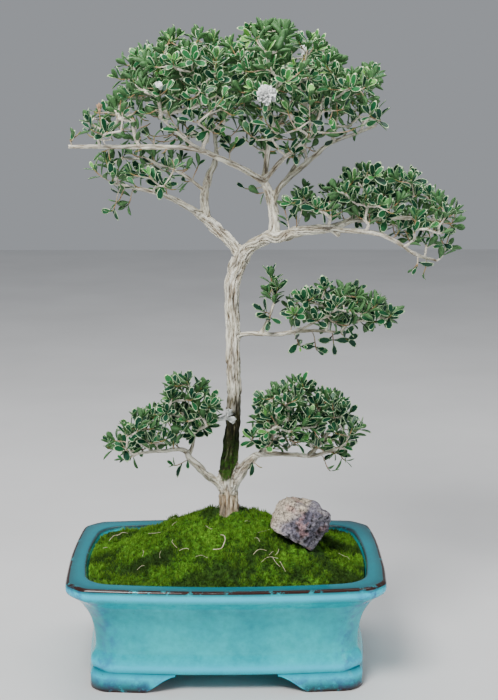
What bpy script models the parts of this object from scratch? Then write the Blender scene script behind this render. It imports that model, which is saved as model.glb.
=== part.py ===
"""Serissa bonsai in a glazed rectangular pot, as separate closed solids.

Metres, +Z up. Points of the plant and profiles of the pot are given in millimetres from the
pot's centre on the standing surface, and are scaled by MM when a mesh is made. At the end the
whole object is moved so that its box is centred over the origin.
"""

import math
import random

import bmesh
import bpy
import numpy as np
from mathutils import Matrix, Vector, noise
from mathutils.bvhtree import BVHTree

MM = 0.001
SEED = 31
SEAT_GAP = 0.3

# Pot: plan, heights and profile
POT_HALF_LENGTH = 134.0
POT_HALF_DEPTH = 94.0
POT_HEIGHT = 96.0
POT_SIDE_BOW = 3.5
POT_FRONT_BOW = 4.5
POT_CHAMFER = 15.0
OPENING_RADIUS = 24.0
RIM_WIDTH = 15.0
FLOOR_TOP = 27.0
CORNER_STEPS = 3
SIDE_POINTS = 3
FRONT_POINTS = 5
OUTER_PROFILE = (  # inset from the rim's edge, height
    (19.5, 15.0), (18.0, 17.5), (17.5, 25.5), (20.5, 30.5), (21.0, 42.0), (19.0, 56.0),
    (15.0, 68.0), (9.5, 78.0), (1.5, 85.0), (0.0, 89.5), (0.5, 94.5), (2.5, POT_HEIGHT),
)
INNER_PROFILE = (
    (RIM_WIDTH - 1.5, POT_HEIGHT), (RIM_WIDTH, 94.0), (RIM_WIDTH + 3.0, 82.0),
    (24.5, 60.0), (29.0, FLOOR_TOP),
)
FOOT_TOP = 17.0
FOOT_INSET = 17.5
FOOT_THICKNESS = 13.0
FOOT_FRONT_REACH = 62.0
FOOT_SIDE_REACH = 48.0
DRAIN_RADIUS = 8.0
DRAIN_X = 55.0
SCREEN_SIZE = 24.0
SCREEN_THICKNESS = 1.2
SCREEN_HOLES = 2

# Soil and moss
TRUNK_X = 2.0
TRUNK_Y = 2.0
SOIL_TOP = 84.0
ROOT_BOTTOM = 52.0
ROOT_RADIUS = 10.5
ROOT_SIDES = 16
MOSS_TOP = 132.0
MOSS_EDGE = 90.0
MOSS_REACH_X = 76.0
MOSS_REACH_Y = 70.0
MOSS_RINGS = 8
MOSS_LUMP = 2.2

# Stone
STONE_CENTRE = (62.0, -20.0, 126.0)
STONE_REACH = 31.0
STONE_ROUGHNESS = 0.09
STONE_FACES = (  # the way that each broken face looks, and how far it lies from the middle
    ((0.28, -0.10, 0.95), 18.5), ((0.95, -0.15, -0.20), 23.5), ((0.75, -0.20, -0.60), 22.5),
    ((-0.52, -0.10, -0.85), 17.0), ((-0.83, -0.10, 0.53), 25.0), ((0.68, 0.10, 0.70), 22.5),
    ((-0.25, -0.85, 0.45), 17.0), ((0.45, -0.85, -0.25), 17.5), ((-0.30, 0.90, 0.20), 17.0),
    ((0.40, 0.85, 0.30), 18.0), ((0.00, 0.20, -1.00), 20.5),
)

# Wood: each limb's route as x, y, z and radius
LIMBS = {
    "trunk": [(2, 2, 118, 9.6), (2, 2, 132, 9.0), (2, 2, 144, 8.4), (1, 2, 158, 9.2),
              (2, 2, 171, 8.3), (4, 2, 186, 7.6), (5, 1, 204, 6.8), (6, 0, 222, 6.5),
              (7, -1, 240, 6.2), (6, -1, 265, 6.2), (6, 0, 291, 6.2), (5, 1, 316, 6.3),
              (5, 1, 329, 6.7), (8, 1, 340, 7.2), (12, 0, 350, 7.1), (15, 0, 359, 6.0)],
    "left_limb": [(14, 0, 351, 6.0), (7, 3, 361, 5.2), (-2, 6, 370, 5.0), (-11, 9, 378, 5.0),
                  (-18, 10, 384, 4.2), (-28, 6, 391, 3.1), (-38, 0, 398, 2.8),
                  (-52, -8, 405, 2.3), (-70, -14, 410, 1.8), (-90, -16, 414, 1.2)],
    "left_upright": [(-15, 10, 381, 4.2), (-17, 12, 391, 4.0), (-18, 14, 401, 3.7),
                     (-16, 16, 410, 3.5), (-13, 20, 420, 3.1), (-9, 24, 428, 2.8),
                     (-8, 32, 440, 2.1), (-10, 42, 459, 1.7), (-16, 52, 480, 1.3)],
    "left_low": [(-19, 14, 407, 1.9), (-29, 4, 416, 1.6), (-40, -6, 424, 1.4),
                 (-53, -14, 429, 1.2), (-64, -20, 435, 1.0)],
    "right_limb": [(14, 0, 351, 6.0), (20, -2, 361, 5.4), (28, -4, 366, 5.4), (37, -6, 370, 5.6),
                   (46, -8, 370, 5.1), (57, -10, 374, 4.7), (68, -12, 376, 4.3),
                   (79, -12, 377, 4.1), (89, -10, 378, 3.6)],
    "right_arch_up": [(86, -10, 377, 3.4), (101, -2, 382, 3.0), (109, 4, 386, 2.6),
                      (117, 12, 393, 2.2), (126, 20, 401, 1.7), (137, 26, 407, 1.3)],
    "right_arch_low": [(86, -10, 377, 3.2), (100, -20, 376, 2.4), (113, -26, 376, 2.2),
                       (125, -28, 374, 2.0), (138, -28, 368, 1.8), (150, -24, 360, 1.7),
                       (160, -20, 355, 1.5), (173, -16, 351, 1.1)],
    "right_arch_mid": [(102, -2, 382, 2.2), (120, -10, 384, 2.0), (139, -14, 386, 1.7),
                       (158, -10, 385, 1.5), (176, -6, 383, 1.1)],
    "right_cut": [(86, -10, 377, 2.7), (93, -14, 371, 2.3)],
    "right_upright": [(40, -6, 369, 4.7), (40, -5, 380, 4.7), (39, -3, 391, 4.5),
                      (37, 0, 402, 4.1), (33, 2, 411, 3.7), (31, 3, 417, 3.4)],
    "cross_limb": [(32, 2, 414, 3.2), (25, -6, 419, 3.0), (17, -12, 424, 2.8),
                   (6, -18, 430, 2.7), (-5, -22, 435, 2.6), (-16, -24, 440, 2.2),
                   (-26, -26, 446, 1.6), (-39, -30, 456, 1.2), (-51, -34, 467, 0.9)],
    "left_stub": [(-14, -24, 439, 2.0), (-31, -28, 443, 2.2), (-52, -28, 444, 2.2),
                  (-76, -26, 444, 2.1), (-104, -22, 444, 1.9), (-126, -18, 444, 1.6)],
    "top_leader": [(31, 3, 414, 3.0), (33, 4, 424, 2.7), (34, 4, 435, 2.5), (36, 2, 446, 2.3),
                   (39, 0, 456, 2.0), (36, -4, 473, 1.7), (30, -8, 490, 1.4), (25, -8, 508, 1.0)],
    "leader_right": [(36, 2, 447, 1.8), (43, 10, 459, 1.6), (52, 18, 474, 1.4),
                     (60, 22, 488, 1.2), (67, 22, 501, 0.9)],
    "right_rise": [(32, 3, 415, 2.5), (41, -6, 427, 2.2), (49, -14, 436, 2.0), (60, -22, 445, 1.8),
                   (69, -28, 456, 1.6), (75, -32, 470, 1.3), (77, -34, 483, 0.9)],
    "right_sweep": [(39, -3, 396, 2.9), (43, 2, 407, 2.7), (49, 6, 414, 2.7), (60, 10, 423, 2.5),
                    (75, 12, 436, 2.3), (86, 12, 445, 2.1), (104, 8, 452, 1.6), (124, 4, 460, 1.1)],
    "back_rise": [(48, 6, 413, 2.2), (59, 26, 427, 2.1), (67, 42, 442, 1.9), (70, 52, 458, 1.5),
                  (69, 58, 476, 1.1)],
    "mid_branch": [(6, 0, 285, 2.7), (19, -2, 288, 2.2), (30, -4, 288, 2.1), (45, -4, 288, 2.0),
                   (62, -2, 290, 1.8), (81, 0, 290, 1.5), (96, 2, 288, 1.2)],
    "mid_stalk": [(29, -4, 288, 1.8), (36, -4, 303, 1.5), (40, -4, 314, 1.2)],
    "mid_up": [(58, -2, 290, 1.6), (68, -10, 296, 1.4), (81, -16, 304, 1.2), (97, -18, 309, 1.0)],
    "low_left": [(2, 2, 150, 4.1), (-11, 0, 161, 3.6), (-18, -3, 167, 3.4), (-25, -6, 176, 3.4),
                 (-31, -8, 182, 3.2), (-34, -8, 188, 2.5), (-41, -12, 191, 1.9),
                 (-50, -16, 191, 1.8), (-60, -18, 191, 1.6), (-74, -18, 189, 1.2)],
    "low_left_up": [(-32, -8, 185, 2.4), (-29, -4, 191, 1.9), (-27, 2, 203, 1.6),
                    (-29, 6, 216, 1.3)],
    "low_right": [(2, 2, 148, 4.7), (10, 0, 163, 4.7), (15, -2, 172, 4.7), (21, -4, 180, 4.2),
                  (26, -5, 184, 3.2), (35, -6, 185, 2.5), (47, -7, 185, 2.3), (60, -8, 185, 2.1),
                  (72, -8, 184, 2.1), (87, -10, 188, 1.7), (98, -12, 192, 1.3)],
    "low_right_fork": [(70, -8, 184, 2.1), (76, -4, 189, 2.1), (83, 0, 197, 2.0), (90, 4, 208, 1.6)],
    "low_right_up": [(26, -5, 183, 2.5), (34, 4, 189, 2.1), (44, 10, 195, 2.0), (61, 14, 202, 1.7),
                     (74, 16, 212, 1.2)],
    "low_right_in": [(30, -5, 185, 1.9), (38, -10, 198, 1.6), (42, -14, 213, 1.2)],
}
THICK_LIMBS = {"trunk": 3, "left_limb": 1, "right_limb": 1, "left_upright": 1, "right_upright": 1,
               "low_left": 1, "low_right": 1}
BARE_LIMBS = ("trunk", "right_cut")
BARK_LUMP = 0.09

# Leafy sprays: the tip that each one grows to
SPRAYS = {
    "crown_left": [(-116, -18, 451), (-104, -28, 472), (-86, -14, 498), (-62, -38, 510),
                   (-54, 8, 522), (-66, 36, 482)],
    "crown_mid": [(-31, -14, 521), (-44, -60, 490), (-14, 36, 514), (-26, -64, 467),
                  (-11, 62, 484), (8, -62, 470)],
    "crown_top": [(4, -20, 514), (21, -22, 528), (36, 2, 537), (56, 16, 522), (32, 52, 504)],
    "crown_right": [(74, -12, 520), (90, 26, 502), (110, 2, 498), (124, 4, 474), (94, -44, 475),
                    (83, 56, 460)],
    "upper_right": [(60, 6, 396), (87, -30, 411), (107, 32, 413), (129, -8, 417), (157, 26, 408),
                    (177, -14, 397), (190, 6, 376), (154, -18, 345)],
    "middle_right": [(40, -4, 330), (64, -24, 319), (90, 14, 320), (124, -16, 312)],
    "lower_left": [(-84, -18, 209), (-64, -2, 221), (-39, 8, 243), (-49, -40, 207)],
    "lower_right": [(28, -14, 230), (52, 14, 238), (82, 20, 230), (104, -6, 220)],
    "under_left": [(-106, -18, 426), (-76, -34, 424)],
}
FLOWER_SPRAYS = {"double": (33, -72, 486), "funnel": (-10, -19, 217)}
FLOWER_LIMBS = {"double": "top_leader", "funnel": "low_left_up"}
SEAT_SPACING = 14.0
CROWDING_COST = 2.5
DROP_COST = 0.5
THICKNESS_COST = 4.0
SEAT_RAYS = 12
SEAT_RAY_SPREAD = 1.15
TWIG_BASE_RADIUS = 1.05
TWIG_TIP_RADIUS = 0.7
SHORTEST_TWIG = 20.0
SIDE_TWIG_LENGTH = 17.0

# Twigs: shares of the main twig's length at which leaves stand, and how far these lean out
MAIN_NODES = (0.40, 0.70, 1.0)
NODE_HEIGHT = 1.3
PAIR_LEAN = 0.95
ROSETTE_LEAN = 1.15

# Blades: sections along one (share of its length, half width), lift and droop, thickness
LEAF = {"outline": ((0.30, 0.17), (0.70, 0.19)), "lift": 0.06, "droop": 0.06, "thickness": 0.8}
PETAL = {"outline": ((0.40, 0.20), (0.85, 0.26)), "lift": 0.05, "droop": 0.05, "thickness": 0.8}
LEAF_LENGTH = (10.5, 13.5)
CLEAR_OF_OTHERS = 3.5
CLEAR_OF_OWN = 2.4
CLEAR_OF_WOOD = 1.6

# Blooms: rings of the tube as distance, radius and the petals raised below that ring, if any,
# as length, tilt in degrees and turn
BLOOMS = {
    "double": {"on": "double_bloom", "twig": 0, "colour": "petal", "sides": 5,
               "tube": ((0.0, 0.9, None), (3.0, 1.6, None), (4.2, 2.1, (9.2, 82, 0.0)),
                        (5.4, 2.1, None), (6.6, 1.9, (6.6, 50, 0.0)))},
    "funnel": {"on": "funnel_bloom", "twig": 0, "colour": "petal", "sides": 5,
               "tube": ((0.0, 0.9, None), (8.0, 1.9, None), (9.2, 2.1, (8.0, 58, 0.0)))},
    "drooping": {"on": "crown_top_4", "twig": 1, "colour": "petal", "sides": 4,
                 "tube": ((0.0, 0.9, None), (5.0, 1.5, None), (6.2, 1.6, (8.0, 34, 0.0)))},
    "bud": {"on": "crown_left_4", "twig": 1, "colour": "petal", "sides": 6,
            "tube": ((0.0, 0.9, None), (3.0, 1.9, None), (7.0, 2.1, None), (10.0, 0.6, None))},
    "dry_calyx": {"on": "crown_left_2", "twig": 1, "colour": "husk", "sides": 4,
                  "tube": ((0.0, 0.9, None), (1.4, 1.3, None), (2.6, 1.5, (6.0, 30, 0.0)))},
}

COLOURS = {
    "glaze": (0.095, 0.47, 0.53), "screen": (0.03, 0.03, 0.03), "soil": (0.09, 0.06, 0.04),
    "moss": (0.13, 0.24, 0.03), "stone": (0.42, 0.37, 0.35), "bark": (0.42, 0.34, 0.25),
    "leaf": (0.06, 0.15, 0.035), "petal": (0.86, 0.86, 0.82), "husk": (0.36, 0.22, 0.10),
}
ROUGHNESS = {
    "glaze": 0.16, "screen": 0.6, "soil": 0.95, "moss": 0.95, "stone": 0.9, "bark": 0.9,
    "leaf": 0.5, "petal": 0.55, "husk": 0.8,
}


def clear_scene():
    for old in list(bpy.data.objects):
        bpy.data.objects.remove(old, do_unlink=True)


def make_collection(name):
    made = bpy.data.collections.new(name)
    bpy.context.scene.collection.children.link(made)
    return made


def make_material(name):
    made = bpy.data.materials.new(name)
    made.use_nodes = True
    shader = made.node_tree.nodes["Principled BSDF"]
    shader.inputs["Base Color"].default_value = (*COLOURS[name], 1.0)
    shader.inputs["Roughness"].default_value = ROUGHNESS[name]
    shader.inputs["Metallic"].default_value = 0.0
    return made


def make_object(name, mesh, collection):
    made = bpy.data.objects.new(name, mesh)
    collection.objects.link(made)
    return made


def evaluated_mesh(thing):
    depsgraph = bpy.context.evaluated_depsgraph_get()
    return bpy.data.meshes.new_from_object(thing.evaluated_get(depsgraph))


def bmesh_to_mesh(name, shape):
    bmesh.ops.recalc_face_normals(shape, faces=shape.faces)
    mesh = bpy.data.meshes.new(name)
    shape.to_mesh(mesh)
    shape.free()
    return mesh


def bake_boolean(base, operation, tool, solver="EXACT"):
    """Apply one Boolean to `base`, whose tool is an object or a collection of objects."""
    modifier = base.modifiers.new("Join", "BOOLEAN")
    modifier.operation = operation
    modifier.solver = solver
    if isinstance(tool, bpy.types.Collection):
        modifier.operand_type = "COLLECTION"
        modifier.collection = tool
        used = list(tool.objects)
    else:
        modifier.object = tool
        used = [tool]
    baked = evaluated_mesh(base)
    base.modifiers.clear()
    base.data = baked
    for thing in used:
        bpy.data.objects.remove(thing, do_unlink=True)


def unite(name, meshes, collection, solver="MANIFOLD"):
    """One closed body from overlapping meshes."""
    joined = make_object(name, meshes[0], collection)
    if len(meshes) > 1:
        rest = make_collection(name + "_rest")
        for number, mesh in enumerate(meshes[1:]):
            make_object(f"{name}_piece_{number}", mesh, rest)
        bake_boolean(joined, "UNION", rest, solver)
        bpy.data.collections.remove(rest)
    return joined


def finish(thing, material, smooth_angle=None):
    thing.data.materials.clear()
    thing.data.materials.append(material)
    if smooth_angle is not None:
        thing.data.shade_smooth()
        thing.data.set_sharp_from_angle(angle=math.radians(smooth_angle))


# Plan outlines and lofts

def plan_ring(inset, height, corner, roundness):
    """A rectangle seen from above, its corners cut straight (0) or round (1), its sides bowed."""
    half_x = POT_HALF_LENGTH - POT_SIDE_BOW - inset
    half_y = POT_HALF_DEPTH - POT_FRONT_BOW - inset
    quarter = []
    for step in range(CORNER_STEPS + 1):
        t = step / CORNER_STEPS
        straight = Vector((half_x - corner * t, half_y - corner * (1 - t)))
        turn = math.pi / 2 * t
        centre = Vector((half_x - corner, half_y - corner))
        arc = centre + corner * Vector((math.cos(turn), math.sin(turn)))
        quarter.append(straight.lerp(arc, roundness))
    side_shares = [2 * (k + 1) / (SIDE_POINTS + 1) - 1 for k in range(SIDE_POINTS)]
    front_shares = [1 - 2 * (k + 1) / (FRONT_POINTS + 1) for k in range(FRONT_POINTS)]
    side = [Vector((half_x + POT_SIDE_BOW * (1 - s * s), (half_y - corner) * s))
            for s in side_shares]
    front = [Vector(((half_x - corner) * s, half_y + POT_FRONT_BOW * (1 - s * s)))
             for s in front_shares]
    half_turn = side + quarter + front + [Vector((-p.x, p.y)) for p in reversed(quarter)]
    points = half_turn + [-p for p in half_turn]
    return [Vector((p.x, p.y, height)) for p in points]


def circle_like(ring, centre, radius, height):
    """A circle with one point for each point of `ring`, in the same directions."""
    angles = [math.atan2(p.y - centre[1], p.x - centre[0]) for p in ring]
    return [Vector((centre[0] + radius * math.cos(a), centre[1] + radius * math.sin(a), height))
            for a in angles]


def loft(name, rings, wrap=False):
    """A closed skin over rings of equal length: capped at both ends, or joined end to end."""
    shape = bmesh.new()
    rows = [[shape.verts.new(p * MM) for p in ring] for ring in rings]
    pairs = list(zip(rows, rows[1:]))
    if wrap:
        pairs.append((rows[-1], rows[0]))
    else:
        shape.faces.new(rows[0])
        shape.faces.new(list(reversed(rows[-1])))
    for low, high in pairs:
        for here in range(len(low)):
            there = (here + 1) % len(low)
            shape.faces.new((low[here], high[here], high[there], low[there]))
    return bmesh_to_mesh(name, shape)


def cylinder(name, centre, radius, low, high, sides):
    shape = bmesh.new()
    place = Matrix.Translation(Vector((centre[0], centre[1], (low + high) / 2)) * MM)
    bmesh.ops.create_cone(shape, cap_ends=True, segments=sides, radius1=radius * MM,
                          radius2=radius * MM, depth=(high - low) * MM, matrix=place)
    return bmesh_to_mesh(name, shape)


def box(name, low, high):
    shape = bmesh.new()
    size = Vector(high) - Vector(low)
    middle = (Vector(high) + Vector(low)) / 2
    place = Matrix.Translation(middle * MM) @ Matrix.Diagonal((*(size * MM), 1.0))
    bmesh.ops.create_cube(shape, size=1.0, matrix=place)
    return bmesh_to_mesh(name, shape)


def extruded(name, outline, thickness, place):
    """A flat outline in the XY plane, extruded both ways along Z, then placed by a matrix."""
    curve = bpy.data.curves.new(name, "CURVE")
    curve.dimensions = "2D"
    curve.fill_mode = "BOTH"
    curve.extrude = thickness / 2 * MM
    spline = curve.splines.new("POLY")
    spline.points.add(len(outline) - 1)
    for point, (x, y) in zip(spline.points, outline):
        point.co = (x * MM, y * MM, 0.0, 1.0)
    spline.use_cyclic_u = True
    guide = make_object(name, curve, bpy.context.scene.collection)
    mesh = evaluated_mesh(guide)
    bpy.data.objects.remove(guide, do_unlink=True)
    shape = bmesh.new()
    shape.from_mesh(mesh)
    bmesh.ops.remove_doubles(shape, verts=shape.verts, dist=0.00001)
    bmesh.ops.transform(shape, matrix=place, verts=shape.verts)
    return bmesh_to_mesh(name, shape)


# Pot, drain screens, soil, moss and stone

def scroll(start, reach):
    """The underside of a foot from its sole inwards: two lobes that step up to the pot."""
    points = []
    for begin, width, low, high in ((0.0, 0.45, 0.0, 6.0), (0.5, 0.42, 6.5, 13.0)):
        for step in range(4):
            turn = math.pi / 2 * step / 3
            points.append((start - reach * (begin + width * math.sin(turn)),
                           low + (high - low) * (1 - math.cos(turn))))
    return points


def void_outline(corner, reach):
    """The open space between two feet, seen from the front: it goes up past the feet's tops."""
    sole = reach * 0.52
    half = [(corner - sole, -5.0), *scroll(corner - sole, reach - sole),
            (corner - reach, FOOT_TOP + 1)]
    return half + [(-x, z) for x, z in reversed(half)]


def make_feet(collection):
    """Four L-shaped scrolled feet: a low rectangular ring, cut away between its corners."""
    corner_x = POT_HALF_LENGTH - POT_SIDE_BOW - FOOT_INSET
    corner_y = POT_HALF_DEPTH - POT_FRONT_BOW - FOOT_INSET
    rings = [plan_ring(FOOT_INSET + inward, height, POT_CHAMFER * 0.75, 0.0)
             for inward, height in ((0, 0), (0, FOOT_TOP), (FOOT_THICKNESS, FOOT_TOP),
                                    (FOOT_THICKNESS, 0))]
    feet = make_object("feet", loft("feet", rings, wrap=True), collection)
    stand = Matrix.Rotation(math.radians(90), 4, "X")
    turn = Matrix.Rotation(math.radians(90), 4, "Z")
    for corner, reach, place in ((corner_x, FOOT_FRONT_REACH, stand),
                                 (corner_y, FOOT_SIDE_REACH, turn @ stand)):
        void = extruded("void", void_outline(corner, reach), 4 * POT_HALF_LENGTH, place)
        bake_boolean(feet, "DIFFERENCE", make_object("void", void, collection))
    mesh = feet.data
    bpy.data.objects.remove(feet, do_unlink=True)
    return mesh


def make_pot(collection):
    outer = [plan_ring(inset, height, POT_CHAMFER, 0.25) for inset, height in OUTER_PROFILE]
    inner = [plan_ring(inset, height, OPENING_RADIUS, 1.0) for inset, height in INNER_PROFILE]
    pot = unite("pot", [loft("pot", outer + inner), make_feet(collection)], collection)
    for side in (-1, 1):
        centre = (side * DRAIN_X, 0)
        hole = cylinder("drain", centre, DRAIN_RADIUS, 0, FLOOR_TOP + 10, 16)
        bake_boolean(pot, "DIFFERENCE", make_object("drain", hole, collection))
    finish(pot, make_material("glaze"), 40)


def make_screens(collection):
    """A square of perforated sheet over each drain hole."""
    material = make_material("screen")
    low = FLOOR_TOP + SEAT_GAP
    pitch = SCREEN_SIZE / (SCREEN_HOLES + 1)
    for name, side in (("drain_screen_left", -1), ("drain_screen_right", 1)):
        left = side * DRAIN_X - SCREEN_SIZE / 2
        sheet = box(name, (left, -SCREEN_SIZE / 2, low),
                    (left + SCREEN_SIZE, SCREEN_SIZE / 2, low + SCREEN_THICKNESS))
        screen = make_object(name, sheet, collection)
        for row in range(SCREEN_HOLES):
            for column in range(SCREEN_HOLES):
                centre = (left + pitch * (column + 1), pitch * (row + 1) - SCREEN_SIZE / 2)
                hole = cylinder("hole", centre, 2.5, low - 1, low + SCREEN_THICKNESS + 1, 4)
                bake_boolean(screen, "DIFFERENCE", make_object("hole", hole, collection))
        finish(screen, material)


def inner_inset(height):
    """How far the pot's inner wall lies inside the rim's edge at a height."""
    for (inset_high, high), (inset_low, low) in zip(INNER_PROFILE, INNER_PROFILE[1:]):
        if low <= height <= high:
            return inset_high + (inset_low - inset_high) * (high - height) / (high - low)
    return INNER_PROFILE[-1][0]


def wall_ring(height):
    """The pot's inner wall at a height, drawn in by the gap that the filling keeps."""
    return plan_ring(inner_inset(height) + 2 * SEAT_GAP, height, OPENING_RADIUS, 1.0)


def root_hole():
    """The plain hole in soil and moss that the trunk's foot stands in."""
    radius = ROOT_RADIUS + 1.5 * SEAT_GAP
    return cylinder("hole", (TRUNK_X, TRUNK_Y), radius, ROOT_BOTTOM - SEAT_GAP, MOSS_TOP + 20,
                    ROOT_SIDES)


def make_soil(collection):
    heights = (FLOOR_TOP + SEAT_GAP, 60.0, 82.0, SOIL_TOP)
    wall = [wall_ring(height) for height in heights]
    soil = make_object("soil", loft("soil", wall), collection)
    bake_boolean(soil, "DIFFERENCE", make_object("hole", root_hole(), collection))
    for side in (-1, 1):
        reach = SCREEN_SIZE / 2 + SEAT_GAP
        low = (side * DRAIN_X - reach, -reach, FLOOR_TOP - 5)
        high = (side * DRAIN_X + reach, reach, FLOOR_TOP + 2 * SEAT_GAP + SCREEN_THICKNESS)
        pocket = make_object("pocket", box("pocket", low, high), collection)
        bake_boolean(soil, "DIFFERENCE", pocket)
    finish(soil, make_material("soil"))


def moss_height(x, y, edge):
    """The moss mound's top; `edge` runs from 0 at the trunk to 1 at the pot's wall."""
    away = ((x - TRUNK_X) / MOSS_REACH_X) ** 2 + ((y - TRUNK_Y) / MOSS_REACH_Y) ** 2
    swell = math.exp(-away) * (1 - edge ** 4)
    lumps = noise.noise(Vector((x, y, 0)) * 0.07) + 0.6 * noise.noise(Vector((x, y, 9)) * 0.17)
    return MOSS_EDGE + (MOSS_TOP - MOSS_EDGE) * swell + MOSS_LUMP * lumps * (1 - edge ** 6)


def make_moss(collection, stone_mesh):
    outer = wall_ring(MOSS_EDGE)
    foot = wall_ring(SOIL_TOP + SEAT_GAP)
    middle_ring = circle_like(outer, (TRUNK_X, TRUNK_Y), ROOT_RADIUS / 2, 0)
    rings = []
    for number in range(MOSS_RINGS + 1):
        edge = (number / MOSS_RINGS) ** 0.9
        ring = []
        for near, far in zip(middle_ring, outer):
            spot = near.lerp(far, edge)
            ring.append(Vector((spot.x, spot.y, moss_height(spot.x, spot.y, edge))))
        rings.append(ring)
    moss = make_object("moss", loft("moss", [*rings, foot]), collection)
    bake_boolean(moss, "DIFFERENCE", make_object("hole", root_hole(), collection))
    cutter = make_object("stone_recess", stone_mesh.copy(), collection)
    middle = Vector(STONE_CENTRE) * MM
    swelling = 1 + 2 * SEAT_GAP / min(reach for _way, reach in STONE_FACES)
    cutter.matrix_world = (Matrix.Translation(middle) @ Matrix.Scale(swelling, 4)
                           @ Matrix.Translation(-middle))
    bake_boolean(moss, "DIFFERENCE", cutter)
    finish(moss, make_material("moss"), 60)


def stone_mesh():
    """A broken lump of lava stone: a ball cut by its faces, with hollows and knobs."""
    shape = bmesh.new()
    bmesh.ops.create_icosphere(shape, subdivisions=3, radius=1.0)
    for vert in shape.verts:
        way = vert.co.normalized()
        knobs = noise.noise(way * 1.7 + Vector((4, 1, 7))) + 0.5 * noise.noise(way * 4.3)
        reach = STONE_REACH
        for face_way, distance in STONE_FACES:
            facing = way.dot(Vector(face_way).normalized())
            if facing * reach > distance:
                reach = distance / facing
        reach *= 1 + STONE_ROUGHNESS * knobs
        vert.co = (way * reach + Vector(STONE_CENTRE)) * MM
    return bmesh_to_mesh("stone", shape)


# Wood

def wooden_tube(name, route, resolution):
    """A tapering branch: a curve through x, y, z, radius points, turned into a welded mesh."""
    curve = bpy.data.curves.new(name, "CURVE")
    curve.dimensions = "3D"
    curve.bevel_depth = MM
    curve.bevel_resolution = resolution
    curve.use_fill_caps = True
    spline = curve.splines.new("POLY")
    spline.points.add(len(route) - 1)
    for point, (x, y, z, radius) in zip(spline.points, route):
        point.co = (x * MM, y * MM, z * MM, 1.0)
        point.radius = radius
    guide = make_object(name, curve, bpy.context.scene.collection)
    mesh = evaluated_mesh(guide)
    bpy.data.objects.remove(guide, do_unlink=True)
    shape = bmesh.new()
    shape.from_mesh(mesh)
    bmesh.ops.remove_doubles(shape, verts=shape.verts, dist=0.00001)
    return bmesh_to_mesh(name, shape)


def roughen(mesh, amount):
    """Push a limb's skin in and out by its own thickness times `amount`, as knots and flutes."""
    shape = bmesh.new()
    shape.from_mesh(mesh)
    shape.normal_update()
    for vert in shape.verts:
        spot = vert.co / MM
        swell = noise.noise(Vector((spot.x * 0.22, spot.y * 0.22, spot.z * 0.06)))
        vert.co += vert.normal * swell * amount * MM
    return bmesh_to_mesh(mesh.name, shape)


def limb_segments(routes):
    """Ends and radius of every stretch of wood, as arrays, for the tests of clearance."""
    starts, ends, radii = [], [], []
    for route in routes:
        for here, there in zip(route, route[1:]):
            starts.append(here[:3])
            ends.append(there[:3])
            radii.append(max(here[3], there[3]))
    return np.array(starts, float), np.array(ends, float), np.array(radii, float)


def wood_clearance(points, wood):
    """The least distance from each of the points to the skin of any stretch of wood."""
    starts, ends, radii = wood
    along = ends - starts
    length = np.einsum("ij,ij->i", along, along)
    offset = points[:, None, :] - starts[None, :, :]
    share = np.clip(np.einsum("ijk,jk->ij", offset, along) / length, 0, 1)
    nearest = starts[None, :, :] + share[:, :, None] * along[None, :, :]
    return (np.linalg.norm(points[:, None, :] - nearest, axis=2) - radii).min(axis=1)


def nearest_seat(tip, seats_taken, only_limb=None):
    """The spot on the branches that a spray grows from: near its tip and not yet taken."""
    best = None
    for name, route in LIMBS.items():
        if name in BARE_LIMBS or (only_limb and name != only_limb):
            continue
        for here, there in zip(route[1:], route[2:]):
            for share in (0.0, 0.25, 0.5, 0.75):
                spot = Vector(here[:3]).lerp(Vector(there[:3]), share)
                radius = here[3] + (there[3] - here[3]) * share
                crowding = sum(max(0.0, SEAT_SPACING - (spot - other).length)
                               for other in seats_taken)
                drop = max(0.0, spot.z - tip.z)
                cost = ((tip - spot).length + CROWDING_COST * crowding + DROP_COST * drop
                        + THICKNESS_COST * radius)
                if best is None or cost < best[0]:
                    best = (cost, spot)
    return best[1]


def seat_on_wood(skin, spot, tip):
    """Where a twig from `tip` towards `spot` first meets the wood, a gap short of it."""
    inward = (spot - tip).normalized()
    corner_rays = [around(inward, math.tau * k / SEAT_RAYS) * TWIG_BASE_RADIUS * SEAT_RAY_SPREAD
                   for k in range(SEAT_RAYS)]
    reaches = []
    for offset in (Vector((0, 0, 0)), *corner_rays):
        hit = skin.ray_cast((tip + offset) * MM, inward)
        if hit[0] is not None:
            reaches.append(hit[3] / MM)
    return tip + inward * (min(reaches) - SEAT_GAP)


def plan_sprays(skin):
    """Each spray's name, its seat on the wood and the way that its twig takes."""
    tips = [(f"{pad}_{number + 1}", Vector(tip), None)
            for pad, places in SPRAYS.items() for number, tip in enumerate(places)]
    tips += [(f"{kind}_bloom", Vector(tip), FLOWER_LIMBS[kind])
             for kind, tip in FLOWER_SPRAYS.items()]
    plans = {}
    seats = []
    for name, tip, limb in tips:
        spot = nearest_seat(tip, seats, limb)
        seats.append(spot)
        start = seat_on_wood(skin, spot, tip)
        reach = max((tip - start).length, SHORTEST_TWIG)
        plans[name] = {"name": name, "start": start, "way": (tip - spot).normalized(),
                       "reach": reach}
    return plans


def make_sprays(collection, plans):
    material = make_material("leaf")
    for plan in plans.values():
        make_spray(plan, collection, material)


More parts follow.
